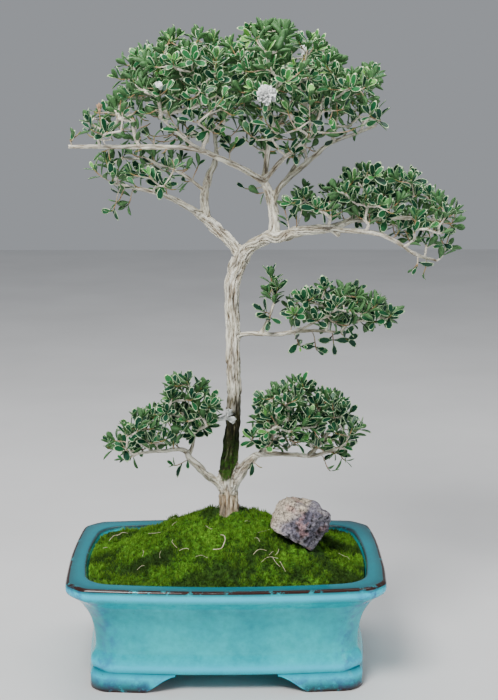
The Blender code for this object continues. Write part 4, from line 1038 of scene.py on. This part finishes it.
def make_stone(material):
    """A ball cut by flat broken faces, then roughened and pitted with holes of two sizes."""
    shape = bmesh.new()
    bmesh.ops.create_icosphere(shape, subdivisions=6, radius=1.0)
    points, pits, lit_creams = [], [], []
    for vert in shape.verts:
        way = vert.co.normalized()
        knobs = noise.noise(way * 1.7 + Vector((4, 1, 7))) + 0.5 * noise.noise(way * 4.3)
        reach = STONE_REACH
        for face_way, distance in STONE_FACES:
            facing = way.dot(Vector(face_way).normalized())
            if facing * reach > distance:
                reach = distance / facing
        spot = way * reach * STONE_SHARE * (1 + STONE_ROUGHNESS * knobs)
        crag = noise.multi_fractal(spot * 0.11, 0.9, 2.1, 4) - 1.0
        cells = noise.voronoi(spot * 0.20)[0]
        hole, prick = 0.0, 0.0
        if noise.noise(spot * 0.06 + Vector((9, 9, 9))) + 0.010 * spot.x - 0.008 * spot.z > 0.0:
            hole = max(0.0, 1 - cells[0] * 2.0)
        small = noise.voronoi(spot * 0.55)[0]
        if noise.noise(spot * 0.2) > -0.1:
            prick = max(0.0, 1 - small[0] * 2.3)
        sink = 3.0 * hole ** 1.2 + 0.9 * prick
        spot = spot + way * (1.0 * crag - sink)
        points.append(tuple(spot + Vector(STONE_CENTRE)))
        # painted shade: how dark each sunk hole is coloured
        pits.append(min(1.0, 1.5 * hole + 0.9 * prick))
        # painted light: paler towards the top and the left, broken into patches
        patch = noise.noise(spot * 0.10 + Vector((2, 5, 3)))
        lit_creams.append(clamp((spot.z - 0.8 * spot.x + 14 * patch - 8) / 12))
    faces = [tuple(vert.index for vert in face.verts) for face in shape.faces]
    shape.free()
    stone = add_piece("lava_stone", points, faces, [material], ["stone"], "stone")
    set_attribute(stone, "pit_shade", pits)
    set_attribute(stone, "cream", lit_creams)


# Wood

def tube(line, sides):
    """Rings of points along a line of x, y, z, radius, and the faces between them."""
    centres = line[:, :3]
    axes = directions(centres)
    side = np.cross(axes[0], (0.0, 0.0, 1.0))
    if np.linalg.norm(side) < 0.2:
        side = np.cross(axes[0], (1.0, 0.0, 0.0))
    side = side / np.linalg.norm(side)
    turns = np.arange(sides) * math.tau / sides
    rings = []
    for centre, axis, radius in zip(centres, axes, line[:, 3]):
        side = side - axis * side.dot(axis)
        side /= np.linalg.norm(side)
        other = np.cross(axis, side)
        rings.append(centre + radius * (np.cos(turns)[:, None] * side
                                        + np.sin(turns)[:, None] * other))
    return np.vstack(rings), capped_faces(len(rings), sides)


def make_wood(material, lines):
    """One skin over trunk and limbs, then bark relief along each limb's own grain."""
    parts = []
    for name, line in lines.items():
        route = np.vstack([TRUNK_FOOT, line]) if name == "trunk" else line
        parts.append(tube(route, 14 if line[:, 3].max() > THICK_LIMB else 10))
    wood = add_piece("trunk_wood", *join_parts(parts), [material], ["trunk"], "bark")
    face_outward(wood.data)
    modifier = wood.modifiers.new("Skin", "REMESH")
    modifier.mode = "VOXEL"
    modifier.voxel_size = SKIN_VOXEL * MM
    modifier.use_smooth_shade = True
    soften = wood.modifiers.new("Soften", "SMOOTH")
    soften.factor = 0.5
    soften.iterations = 5
    bake(wood)
    carve_bark(wood, lines)


def grain_noise(x, y, along, fine, long, start=0):
    """Noise drawn out along the grain."""
    return noise.noise(Vector((x * fine, y * fine, along * long + start)))


def carve_bark(wood, lines):
    """Ridges, cracks and flakes of bark that follow each limb, with painted shade in the cracks.
    """
    fine = [smooth_line(line, 2) for line in lines.values()]
    rows = np.vstack(fine)
    spots, radii = rows[:, :3], rows[:, 3]
    axes = np.vstack([directions(line[:, :3]) for line in fine])
    lengths = np.concatenate([lengths_along(line[:, :3]) for line in fine])
    tree = search_tree(spots)
    places = read_vectors(wood.data, "co") / MM - (SHIFT_X, 0.0, 0.0)
    normals = read_vectors(wood.data, "normal")
    # the limb whose skin is nearest, not merely its line, carries the grain
    nearest = [min(tree.find_n(place, 6), key=lambda found: found[2] - radii[found[1]])[1]
               for place in places]
    axis, radius = axes[nearest], radii[nearest]
    offset = places - spots[nearest]
    along = dots(offset, axis)
    across = offset - axis * along[:, None]
    distance = np.linalg.norm(across, axis=1)
    out = across / np.maximum(distance, 1e-6)[:, None]
    # the skin lost some of the thin twigs' thickness, which comes back here
    thin = np.clip((2.6 - radius) / 1.0, 0, 1)
    short = np.clip(radius * 0.96 - distance, 0, 0.8)
    places = places + out * (short * thin)[:, None]
    front = unit(np.cross(axis, (0.9, 0.1, 0.35)))
    other = np.cross(axis, front)
    grain = np.column_stack([dots(across, front), dots(across, other), lengths[nearest] + along])
    relief, cracks = np.empty(len(places)), np.empty(len(places))
    for number, ((x, y, s), thick) in enumerate(zip(grain, radius)):
        ridge = 1 - abs(grain_noise(x, y, s, 0.34, 0.035)) * 2.6
        second = 1 - abs(grain_noise(x, y, s, 0.62, 0.075, 40)) * 2.8
        flake = grain_noise(x, y, s, 0.5, 0.16, 90)
        swell = grain_noise(x, y, s, 0.16, 0.05, 7)
        deep, crack = max(0.0, ridge) ** 3, max(0.0, second) ** 4
        amount = min(1.0, thick / 6.0)
        relief[number] = amount * (1.1 * swell - 2.0 * deep - 1.1 * crack + 1.0 * flake)
        # painted shade: how dark the carved cracks are coloured
        cracks[number] = min(1.0, deep ** 1.3 + 0.7 * crack ** 1.4) * min(1.0, thick / 3.0)
    places = places + normals * relief[:, None]
    wood.data.vertices.foreach_set("co", to_row(places).ravel())
    wood.data.update()
    set_attribute(wood, "grain", grain, "FLOAT_VECTOR")
    set_attribute(wood, "crack_shade", cracks)
    set_attribute(wood, "thick", np.clip((radius - 4.8) / 1.2, 0, 1))
    smooth_faces(wood.data)


# Foliage

def is_inside(x, z, outline):
    inside = False
    for (ax, az), (bx, bz) in around(outline):
        if (az > z) != (bz > z) and x < ax + (z - az) * (bx - ax) / (bz - az):
            inside = not inside
    return inside


def edge_distance(x, z, outline):
    """How far a point is from an outline."""
    best = 1e9
    for (ax, az), (bx, bz) in around(outline):
        dx, dz = bx - ax, bz - az
        t = clamp(((x - ax) * dx + (z - az) * dz) / (dx * dx + dz * dz))
        best = min(best, math.hypot(x - ax - dx * t, z - az - dz * t))
    return best


def pushed_back(x, y, z):
    """A point at the trunk's depth, moved along the line of sight to depth y."""
    share = (y - CAMERA_PLACE[1]) / -CAMERA_PLACE[1]
    return (CAMERA_PLACE[0] + (x - CAMERA_PLACE[0]) * share, y,
            CAMERA_PLACE[2] + (z - CAMERA_PLACE[2]) * share)


def fits_box(spot, room):
    """Whether a place has `room` to the sides and the top of the object's box."""
    low, high = BOX_LOW + room, BOX_HIGH - room
    return low[0] < spot[0] < high[0] and low[1] < spot[1] < high[1] and spot[2] < high[2]


def pad_tips(pad, rng, fixed):
    """Shoot tips: `fixed` ones, then more through the pad near its skin, `spacing` apart."""
    outline = pad["outline"]
    xs, zs = zip(*outline)
    near = pad["spacing"] ** 2
    tips = list(fixed)
    for _ in range(PAD_TRIES):
        x, z = rng.uniform(min(xs), max(xs)), rng.uniform(min(zs), max(zs))
        if not is_inside(x, z, outline):
            continue
        rim = edge_distance(x, z, outline)
        if rim < 3.0:
            continue
        rounding = 1 - min(1.0, (rim + 4) / pad["edge"])
        half = pad["half_depth"] * math.sqrt(max(0.0, 1 - rounding ** 2))
        y = rng.uniform(-half, half)
        if min(rim, half - abs(y)) > pad["skin"]:
            continue
        spot = pushed_back(x, pad["middle"] + y, z)
        if fits_box(spot, TIP_CLEARANCE) and all(
                (spot[0] - a) ** 2 + (spot[1] - b) ** 2 + (spot[2] - c) ** 2 >= near
                for a, b, c in tips):
            tips.append(spot)
    return tips


class Skeleton:
    """Wood to grow from: nodes with a place, a direction, a parent and a load of tips."""

    def __init__(self):
        self.places, self.ways, self.parents, self.load, self.limbs = [], [], [], [], []

    def add(self, place, way, parent, limb):
        self.places.append(np.asarray(place, float))
        self.ways.append(np.asarray(way, float))
        self.parents.append(parent)
        self.load.append(0)
        self.limbs.append(limb)
        return len(self.places) - 1

    def add_limb(self, name, line):
        for place, way in zip(line, directions(line)):
            self.add(place, way, -1, name)


def shoot_cost(tip, places, ways):
    """How far a tip is from each node of the wood; ahead is nearer, downward is farther."""
    offset = tip - places
    distance = np.linalg.norm(offset, axis=1)
    forward = dots(offset, ways) / np.maximum(distance, 1e-6)
    drop = np.maximum(0.0, places[:, 2] - tip[2])
    return distance * (1.28 - 0.28 * forward) + 0.35 * drop + np.where(distance < 7.0, 40.0, 0.0)


def grow_shoots(lines, pad, tips, rng):
    """Join every tip to the wood: the nearest first, each from the wood grown so far."""
    skeleton = Skeleton()
    for limb in dict.fromkeys(pad["limbs"] + [limb for _tip, limb, _kind in tips if limb]):
        skeleton.add_limb(limb, lines[limb][4:, :3])
    places, ways = np.array(skeleton.places), np.array(skeleton.ways)
    limbs = np.array(skeleton.limbs)
    waiting = [(np.asarray(tip, float), limb, kind) for tip, limb, kind in tips]
    best = []
    for tip, limb, _kind in waiting:
        costs = shoot_cost(tip, places, ways)
        if limb:
            costs = np.where(limbs == limb, costs, 1e6)
        k = int(np.argmin(costs))
        best.append([costs[k], k])
    shoots = []
    while waiting:
        pick = min(range(len(waiting)), key=lambda n: best[n][0])
        tip, _limb, kind = waiting.pop(pick)
        _cost, parent = best.pop(pick)
        route = shoot_route(skeleton.places[parent], skeleton.ways[parent], tip, rng)
        first = len(skeleton.places)
        chain = [parent]
        for place, way in zip(route[1:], directions(route)[1:]):
            chain.append(skeleton.add(place, way, chain[-1], "twig"))
        shoots.append({"chain": chain, "kind": kind, "route": route})
        node = chain[-1]
        while node >= 0:
            skeleton.load[node] += 1
            node = skeleton.parents[node]
        if kind != "leafy":
            continue
        new_places = np.array(skeleton.places[first:-1] or [skeleton.places[-1]])
        new_ways = np.array(skeleton.ways[first:-1] or [skeleton.ways[-1]])
        for slot, (other, limb, _kind) in enumerate(waiting):
            if limb:
                continue
            costs = shoot_cost(other, new_places, new_ways)
            k = int(np.argmin(costs))
            if costs[k] < best[slot][0]:
                best[slot] = [costs[k], first + k]
    for shoot in shoots:
        loads = [skeleton.load[k] for k in shoot["chain"]]
        loads[0] = loads[1]
        shoot["radii"] = [min(TWIG_MOST_RADIUS, TWIG_TIP_RADIUS * load ** 0.42) for load in loads]
        shoot["loads"] = loads
    return shoots


def shoot_route(start, way, tip, rng):
    """A bowed twig: it leaves along its parent's way and turns up towards its tip."""
    offset = tip - start
    reach = np.linalg.norm(offset)
    leave = unit(0.5 * way + offset / reach)
    arrive = unit(offset / reach + np.array((0.0, 0.0, 0.55)))
    wobble = np.array([rng.uniform(-1, 1) for _ in range(3)]) * 0.05 * reach
    control = [start, start + leave * reach * 0.33 + wobble,
               tip - arrive * reach * 0.33 - wobble * 0.5, tip]
    count = max(3, int(math.ceil(reach / TWIG_STEP)))
    t = np.linspace(0, 1, count + 1)[:, None]
    return ((1 - t) ** 3 * control[0] + 3 * (1 - t) ** 2 * t * control[1]
            + 3 * (1 - t) * t ** 2 * control[2] + t ** 3 * control[3])


def make_twigs(name, shoots, material):
    """Thin wood of one pad; bark gets paler with age."""
    parts, ages = [], []
    for shoot in shoots:
        parts.append(tube(np.column_stack([shoot["route"], shoot["radii"]]), TWIG_SIDES))
        for number, load in enumerate(shoot["loads"]):
            left = (len(shoot["loads"]) - 1 - number) * TWIG_STEP
            ages += [min(1.0, 0.30 * (load - 1) + left / 34.0)] * TWIG_SIDES
    twigs = add_piece(name, *join_parts(parts), [material], [], "bark")
    set_attribute(twigs, "age", ages)


def leaf_template():
    """Points of one leaf of length 1 along X with its width along Y, faces and their looks."""
    points, faces, looks = [], [], []
    rows = []
    for number, (x, half) in enumerate(LEAF_SECTIONS):
        row = {}
        for side in (-1, 1):
            row[side] = len(points)
            points.append((x, side * half, 0.0))
        if number > 0:
            row["mid"] = len(points)
            points.append((x, 0.0, LEAF_THICKNESS * 0.2))
            row["under"] = len(points)
            points.append((x, 0.0, -LEAF_THICKNESS))
            for side in (-1, 1):
                row[side * 2] = len(points)
                points.append((x + 0.012, side * max(0.3 * half, half - LEAF_MARGIN),
                               LEAF_THICKNESS * 0.6))
        rows.append(row)
    tip = len(points)
    points.append((1.0, 0.0, 0.0))

    def face(look, side, *corners):
        faces.append(corners if side > 0 else tuple(reversed(corners)))
        looks.append(look)

    base, first = rows[0], rows[1]
    for side in (-1, 1):
        face(0, side, base[side], first[2 * side], first[side])
        face(0, side, base[side], first["mid"], first[2 * side])
        face(2, -side, base[side], first["under"], first[side])
        for low, high in zip(rows[1:], rows[2:]):
            face(1, side, low[side], low[2 * side], high[2 * side], high[side])
            face(0, side, low[2 * side], low["mid"], high["mid"], high[2 * side])
            face(2, -side, low[side], low["under"], high["under"], high[side])
        last = rows[-1]
        face(1, side, last[side], last[2 * side], tip)
        face(1, side, last[2 * side], last["mid"], tip)
        face(2, -side, last[side], last["under"], tip)
    faces.append((base[-1], base[1], first["mid"]))
    looks.append(0)
    faces.append((base[1], base[-1], first["under"]))
    looks.append(2)
    return np.array(points), faces, looks


LEAF_POINTS, LEAF_FACES, LEAF_LOOKS = leaf_template()


def on_line(place, reach, rows):
    """The row of a line at a length along it, between the rows that it has."""
    return np.array([np.interp(place, reach, rows[:, k]) for k in range(3)])


def leaves_of(shoot, rng, pad):
    """Root, way, normal, length, tone, width, droop and fold of the leaves of one shoot."""
    route = shoot["route"]
    reach, ways = lengths_along(route), directions(route)
    turn = rng.uniform(0, math.tau)
    made = []
    young = rng.random() < YOUNG_SHARE
    for number, (back, lean, length) in enumerate(LEAF_PAIRS):
        if back > reach[-1] * 0.86:
            break
        spot = on_line(reach[-1] - back, reach, route)
        axis = unit(on_line(reach[-1] - back, reach, ways))
        side = unit(np.cross(axis, (0.31, 0.22, 0.92)))
        other = np.cross(axis, side)
        turn += math.pi / 2 + rng.uniform(-0.25, 0.25)
        for flip in (0.0, math.pi):
            if number > 2 and rng.random() < MISSING_SHARE:
                continue
            spin = turn + flip + rng.uniform(-0.2, 0.2)
            out = side * math.cos(spin) + other * math.sin(spin)
            tilt = math.radians(lean + rng.uniform(-12, 12))
            way = unit(axis * math.cos(tilt) + out * math.sin(tilt) + (0, 0, 0.34))
            normal = axis * math.sin(tilt) - out * math.cos(tilt)
            sky = np.array((0.0, 0.0, 1.0)) - way * way[2]
            normal = unit(normal - way * normal.dot(way) + 0.55 * sky)
            # the older wood low in a pad shows its twigs
            if rng.random() < pad["bare_share"] * clamp((pad["bare_below"] - spot[2])
                                                        / BARE_DEPTH):
                continue
            # random tone plus painted light: leaves higher in the crown get paler
            tone_and_light = 0.12 + 0.30 * rng.random() + 0.40 * crown_light(spot)
            if number < 2 and young:
                tone_and_light += 0.34
            if rng.random() < PALE_SHARE:
                tone_and_light += 0.2
            middle = spot + way * length / 2
            if hides_stub(middle) or hides_bloom(middle):
                continue
            made.append((spot + way * 0.3, way, normal, length * rng.uniform(0.82, 1.1),
                         min(1.0, tone_and_light), rng.uniform(0.86, 1.12), rng.uniform(0.02, 0.16),
                         rng.uniform(0.1, 0.42)))
    return made


def hides_stub(spot):
    """Whether a leaf would stand in front of the long bare stub at the crown's left."""
    return spot[0] < -28.0 and spot[1] < -14.0 and abs(spot[2] - 444.0) < 6.5


def hides_bloom(spot):
    """Whether a leaf would stand between a bloom and the viewer."""
    for _pad, _limb, place, way in BLOOMS.values():
        bloom = np.array(place) + unit(np.array(way)) * BLOOM_MIDDLE
        sight = unit(np.array(CAMERA_PLACE) - bloom)
        offset = spot - bloom
        along = offset.dot(sight)
        if along > 0.0 and np.linalg.norm(offset - sight * along) < BLOOM_CLEARING:
            return True
    return False


def make_leaves(name, leaves, looks, replaced):
    """One piece of bent and folded leaves; those outside the object's box are left out."""
    roots = np.array([leaf[0] for leaf in leaves])
    ways = np.array([leaf[1] for leaf in leaves])
    normals = np.array([leaf[2] for leaf in leaves])
    sides = np.cross(normals, ways)
    lengths, tones_and_light, widths, droops, folds = (np.array([leaf[k] for leaf in leaves])
                                             for k in (3, 4, 5, 6, 7))
    x, y, z = LEAF_POINTS.T
    along = lengths[:, None] * x[None, :]
    across = lengths[:, None] * widths[:, None] * y[None, :]
    lift = lengths[:, None] * (z[None, :] + folds[:, None] * np.abs(y)[None, :]
                               - droops[:, None] * (x ** 2)[None, :])
    points = (roots[:, None, :] + along[:, :, None] * ways[:, None, :]
              + across[:, :, None] * sides[:, None, :] + lift[:, :, None] * normals[:, None, :])
    fits = ((points > BOX_LOW) & (points < BOX_HIGH)).all(axis=(1, 2))
    points, tones_and_light = points[fits], tones_and_light[fits]
    made = add_piece(name, *join_parts([(leaf, LEAF_FACES) for leaf in points]), looks, replaced,
                     "leaf", LEAF_LOOKS * len(points))
    set_attribute(made, "tone_and_light", np.repeat(tones_and_light, len(x)))


def crown_light(spot):
    """0 to 1: how near the top of the tree's pads a leaf stands, for painted light that makes the
    higher leaves paler.
    """
    return clamp((spot[2] - CROWN_FOOT) / CROWN_RISE) if spot[2] > CROWN_FOOT else 0.25


def make_foliage(lines, rng):
    twig_material = twig_look()
    looks = leaf_looks()
    tips = {name: [(tip, None, "leafy") for tip in pad_tips(pad, rng, SOLID_TIPS[name])]
            for name, pad in PADS.items()}
    for name, limb, places in SINGLES:
        tips[name] += [(place, limb, "leafy") for place in places]
    for name, limb, place, _way in BLOOMS.values():
        tips[name].append((place, limb, "bloom"))
    shoots = {name: grow_shoots(lines, pad, tips[name], rng) for name, pad in PADS.items()}
    sprays = sorted(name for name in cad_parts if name.startswith("spray_"))
    for name, pad in PADS.items():
        make_twigs(f"twigs_{name}", shoots[name], twig_material)
        leaves = []
        for shoot in shoots[name]:
            own = leaves_of(shoot, rng, pad)
            leaves += own if shoot["kind"] == "leafy" else own[BLOOM_LEAVES_SKIPPED:]
        parts = {name: leaves}
        if name == "crown":
            parts = {part: [leaf for leaf in leaves if low <= leaf[0][0] < high]
                     for part, low, high in zip(CROWN_PARTS, CROWN_LIMITS, CROWN_LIMITS[1:])}
        for part, own in parts.items():
            replaced = [node for node in sprays if node.startswith(SPRAY_STARTS[part])]
            make_leaves(f"leaves_{part}", own, looks, replaced)


# Blooms

def petal_sheet(base, way, normal, length, width, curl, frill, rng, thickness=0.22):
    """A thin closed petal on a grid, narrow at its root, cupped and frilled at its edge."""
    side = np.cross(normal, way)
    rows, columns = 6, 5
    phase = rng.uniform(0, math.tau)
    top, bottom = [], []
    for i in range(rows):
        t = i / (rows - 1)
        wide = width / 2 * (0.16 + 0.84 * math.sin(min(1.0, t * 1.15) * math.pi / 2) ** 1.3)
        for j in range(columns):
            u = 2 * j / (columns - 1) - 1
            reach = t * (1 - 0.16 * u * u * t) + 0.05 * t * math.cos(3 * math.pi * u + phase)
            lift = curl * t * t + frill * t * math.sin(4 * u + phase) + 0.12 * u * u * t
            spot = base + way * reach * length + side * u * wide + normal * lift * length
            top.append(spot + normal * thickness / 2)
            bottom.append(spot - normal * thickness / 2)
    return sheet_mesh(top, bottom, rows, columns)


def sheet_mesh(top, bottom, rows, columns):
    points = np.array(top + bottom)
    upper = grid_faces(rows, columns, False)
    half = rows * columns
    faces = upper + [tuple(half + k for k in reversed(face)) for face in upper]
    rim = ([(0, j) for j in range(columns)] + [(i, columns - 1) for i in range(1, rows)]
           + [(rows - 1, j) for j in range(columns - 2, -1, -1)]
           + [(i, 0) for i in range(rows - 2, 0, -1)])
    ring = [i * columns + j for i, j in rim]
    for here, there in around(ring):
        faces.append((there, here, half + here, half + there))
    return points, faces


def make_bloom(name, rings, tube_line, material, rng, slot="petal"):
    """A flower: its tube, and rings of petals of count, place on the axis, lean, length, width,
    curl, frill and turn.
    """
    place, way = (np.array(value, float) for value in BLOOMS[name][2:])
    axis = unit(way)
    side = unit(np.cross(axis, (0.2, 0.3, 0.9)))
    other = np.cross(axis, side)
    line = np.array([(*(place + axis * away), radius) for away, radius in tube_line])
    parts = [tube(line, 8)]
    for count, away, lean, length, width, curl, frill, turn in rings:
        for k in range(count):
            spin = turn + math.tau * k / count + rng.uniform(-0.12, 0.12)
            out = side * math.cos(spin) + other * math.sin(spin)
            tilt = math.radians(lean + rng.uniform(-7, 7))
            petal_way = axis * math.cos(tilt) + out * math.sin(tilt)
            normal = axis * math.sin(tilt) - out * math.cos(tilt)
            parts.append(petal_sheet(place + axis * away + out * 0.5, petal_way, normal,
                                     length * rng.uniform(0.9, 1.08), width, curl, frill, rng))
    add_piece(f"flower_{name}", *join_parts(parts), [material], [f"bloom_{name}"], slot)


def make_blooms(rng):
    white = petal_look("petal_white", (0.72, 0.74, 0.72), (0.88, 0.89, 0.88))
    faded = petal_look("petal_faded", (0.50, 0.52, 0.50), (0.80, 0.81, 0.80), 0.7)
    husk = petal_look("dry_calyx", (0.20, 0.11, 0.06), (0.50, 0.33, 0.20), 0.85)
    make_bloom("double", [(7, 4.0, 86, 8.0, 4.2, 0.10, 0.20, 0.0),
                          (7, 4.4, 66, 7.2, 3.9, 0.04, 0.24, 0.4),
                          (6, 4.9, 44, 6.4, 3.4, -0.04, 0.22, 0.8),
                          (5, 5.2, 20, 5.2, 2.8, -0.06, 0.22, 0.2)],
               [(0.0, 0.8), (2.5, 1.2), (4.8, 1.9), (5.6, 1.4)], white, rng)
    make_bloom("funnel", [(5, 11.6, 62, 8.0, 5.4, 0.16, 0.14, 0.3)],
               [(0.0, 0.8), (5.0, 1.3), (10.0, 2.0), (12.4, 2.7), (12.6, 1.2)], faded, rng)
    make_bloom("drooping", [(4, 5.4, 36, 8.4, 5.4, 0.18, 0.06, 0.5)],
               [(0.0, 0.8), (5.0, 1.4), (6.2, 1.2)], white, rng)
    make_bloom("bud", [(5, 2.6, 13, 6.4, 3.6, -0.14, 0.03, 0.0)],
               [(0.0, 0.8), (2.4, 1.7), (6.0, 1.9), (8.4, 0.8)], white, rng)
    make_bloom("dry_calyx", [(5, 1.8, 34, 5.4, 2.2, 0.2, 0.16, 0.0)],
               [(0.0, 0.8), (1.4, 1.3), (2.6, 1.2)], husk, rng, "dry_calyx")


# Room

def make_stage():
    """The floor under the pot, and the light of the room."""
    bpy.ops.mesh.primitive_plane_add(size=6.0, location=(0, 0, 0))
    floor = bpy.context.object
    floor.name = "floor"
    look = Look("pale_floor", 0.7)
    look.put("Base Color", look.cloud(0.004, [(0.3, 0.60), (0.7, 0.66)], 3))
    floor.data.materials.append(look.material)
    world = bpy.data.worlds.new("studio")
    bpy.context.scene.world = world
    world.use_nodes = True
    backdrop = world.node_tree.nodes["Background"]
    backdrop.inputs["Color"].default_value = ROOM_COLOUR
    backdrop.inputs["Strength"].default_value = ROOM_LIGHT


def add_lamp(name, place, size, power, colour):
    lamp = bpy.data.lights.new(name, "AREA")
    lamp.shape = "RECTANGLE"
    lamp.size, lamp.size_y = size
    lamp.energy = power
    lamp.color = colour
    thing = place_in_scene(name, lamp)
    thing.location = place
    thing.rotation_mode = "QUATERNION"
    way = Vector(LAMP_TARGET) - Vector(place)
    thing.rotation_quaternion = way.to_track_quat("-Z", "Y")


def make_camera():
    lens = bpy.data.cameras.new("camera")
    lens.lens = CAMERA_LENS
    lens.sensor_width = 36.0
    lens.clip_start, lens.clip_end = 0.05, 20.0
    camera = place_in_scene("camera", lens)
    camera.location = to_row(CAMERA_PLACE)
    camera.rotation_euler = (math.pi / 2 - CAMERA_PITCH, 0.0, -CAMERA_YAW)
    bpy.context.scene.camera = camera


def main():
    rng = random.Random(SEED)
    make_stage()
    for lamp in LAMPS:
        add_lamp(*lamp)
    make_camera()
    glaze = glaze_look()
    make_pot(glaze)
    make_feet(glaze)
    for node, material in (("soil", soil_look()), ("drain_screen_left", screen_look()),
                           ("drain_screen_right", screen_look())):
        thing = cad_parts[node]
        thing.data.materials.clear()
        thing.data.materials.append(material)
    make_moss(moss_look(), rng)
    make_fibres(rng)
    make_stone(stone_look())
    lines = {name: smooth_line(route, 6) for name, route in LIMBS.items()}
    make_wood(bark_look(), lines)
    make_foliage(lines, rng)
    make_blooms(rng)


main()
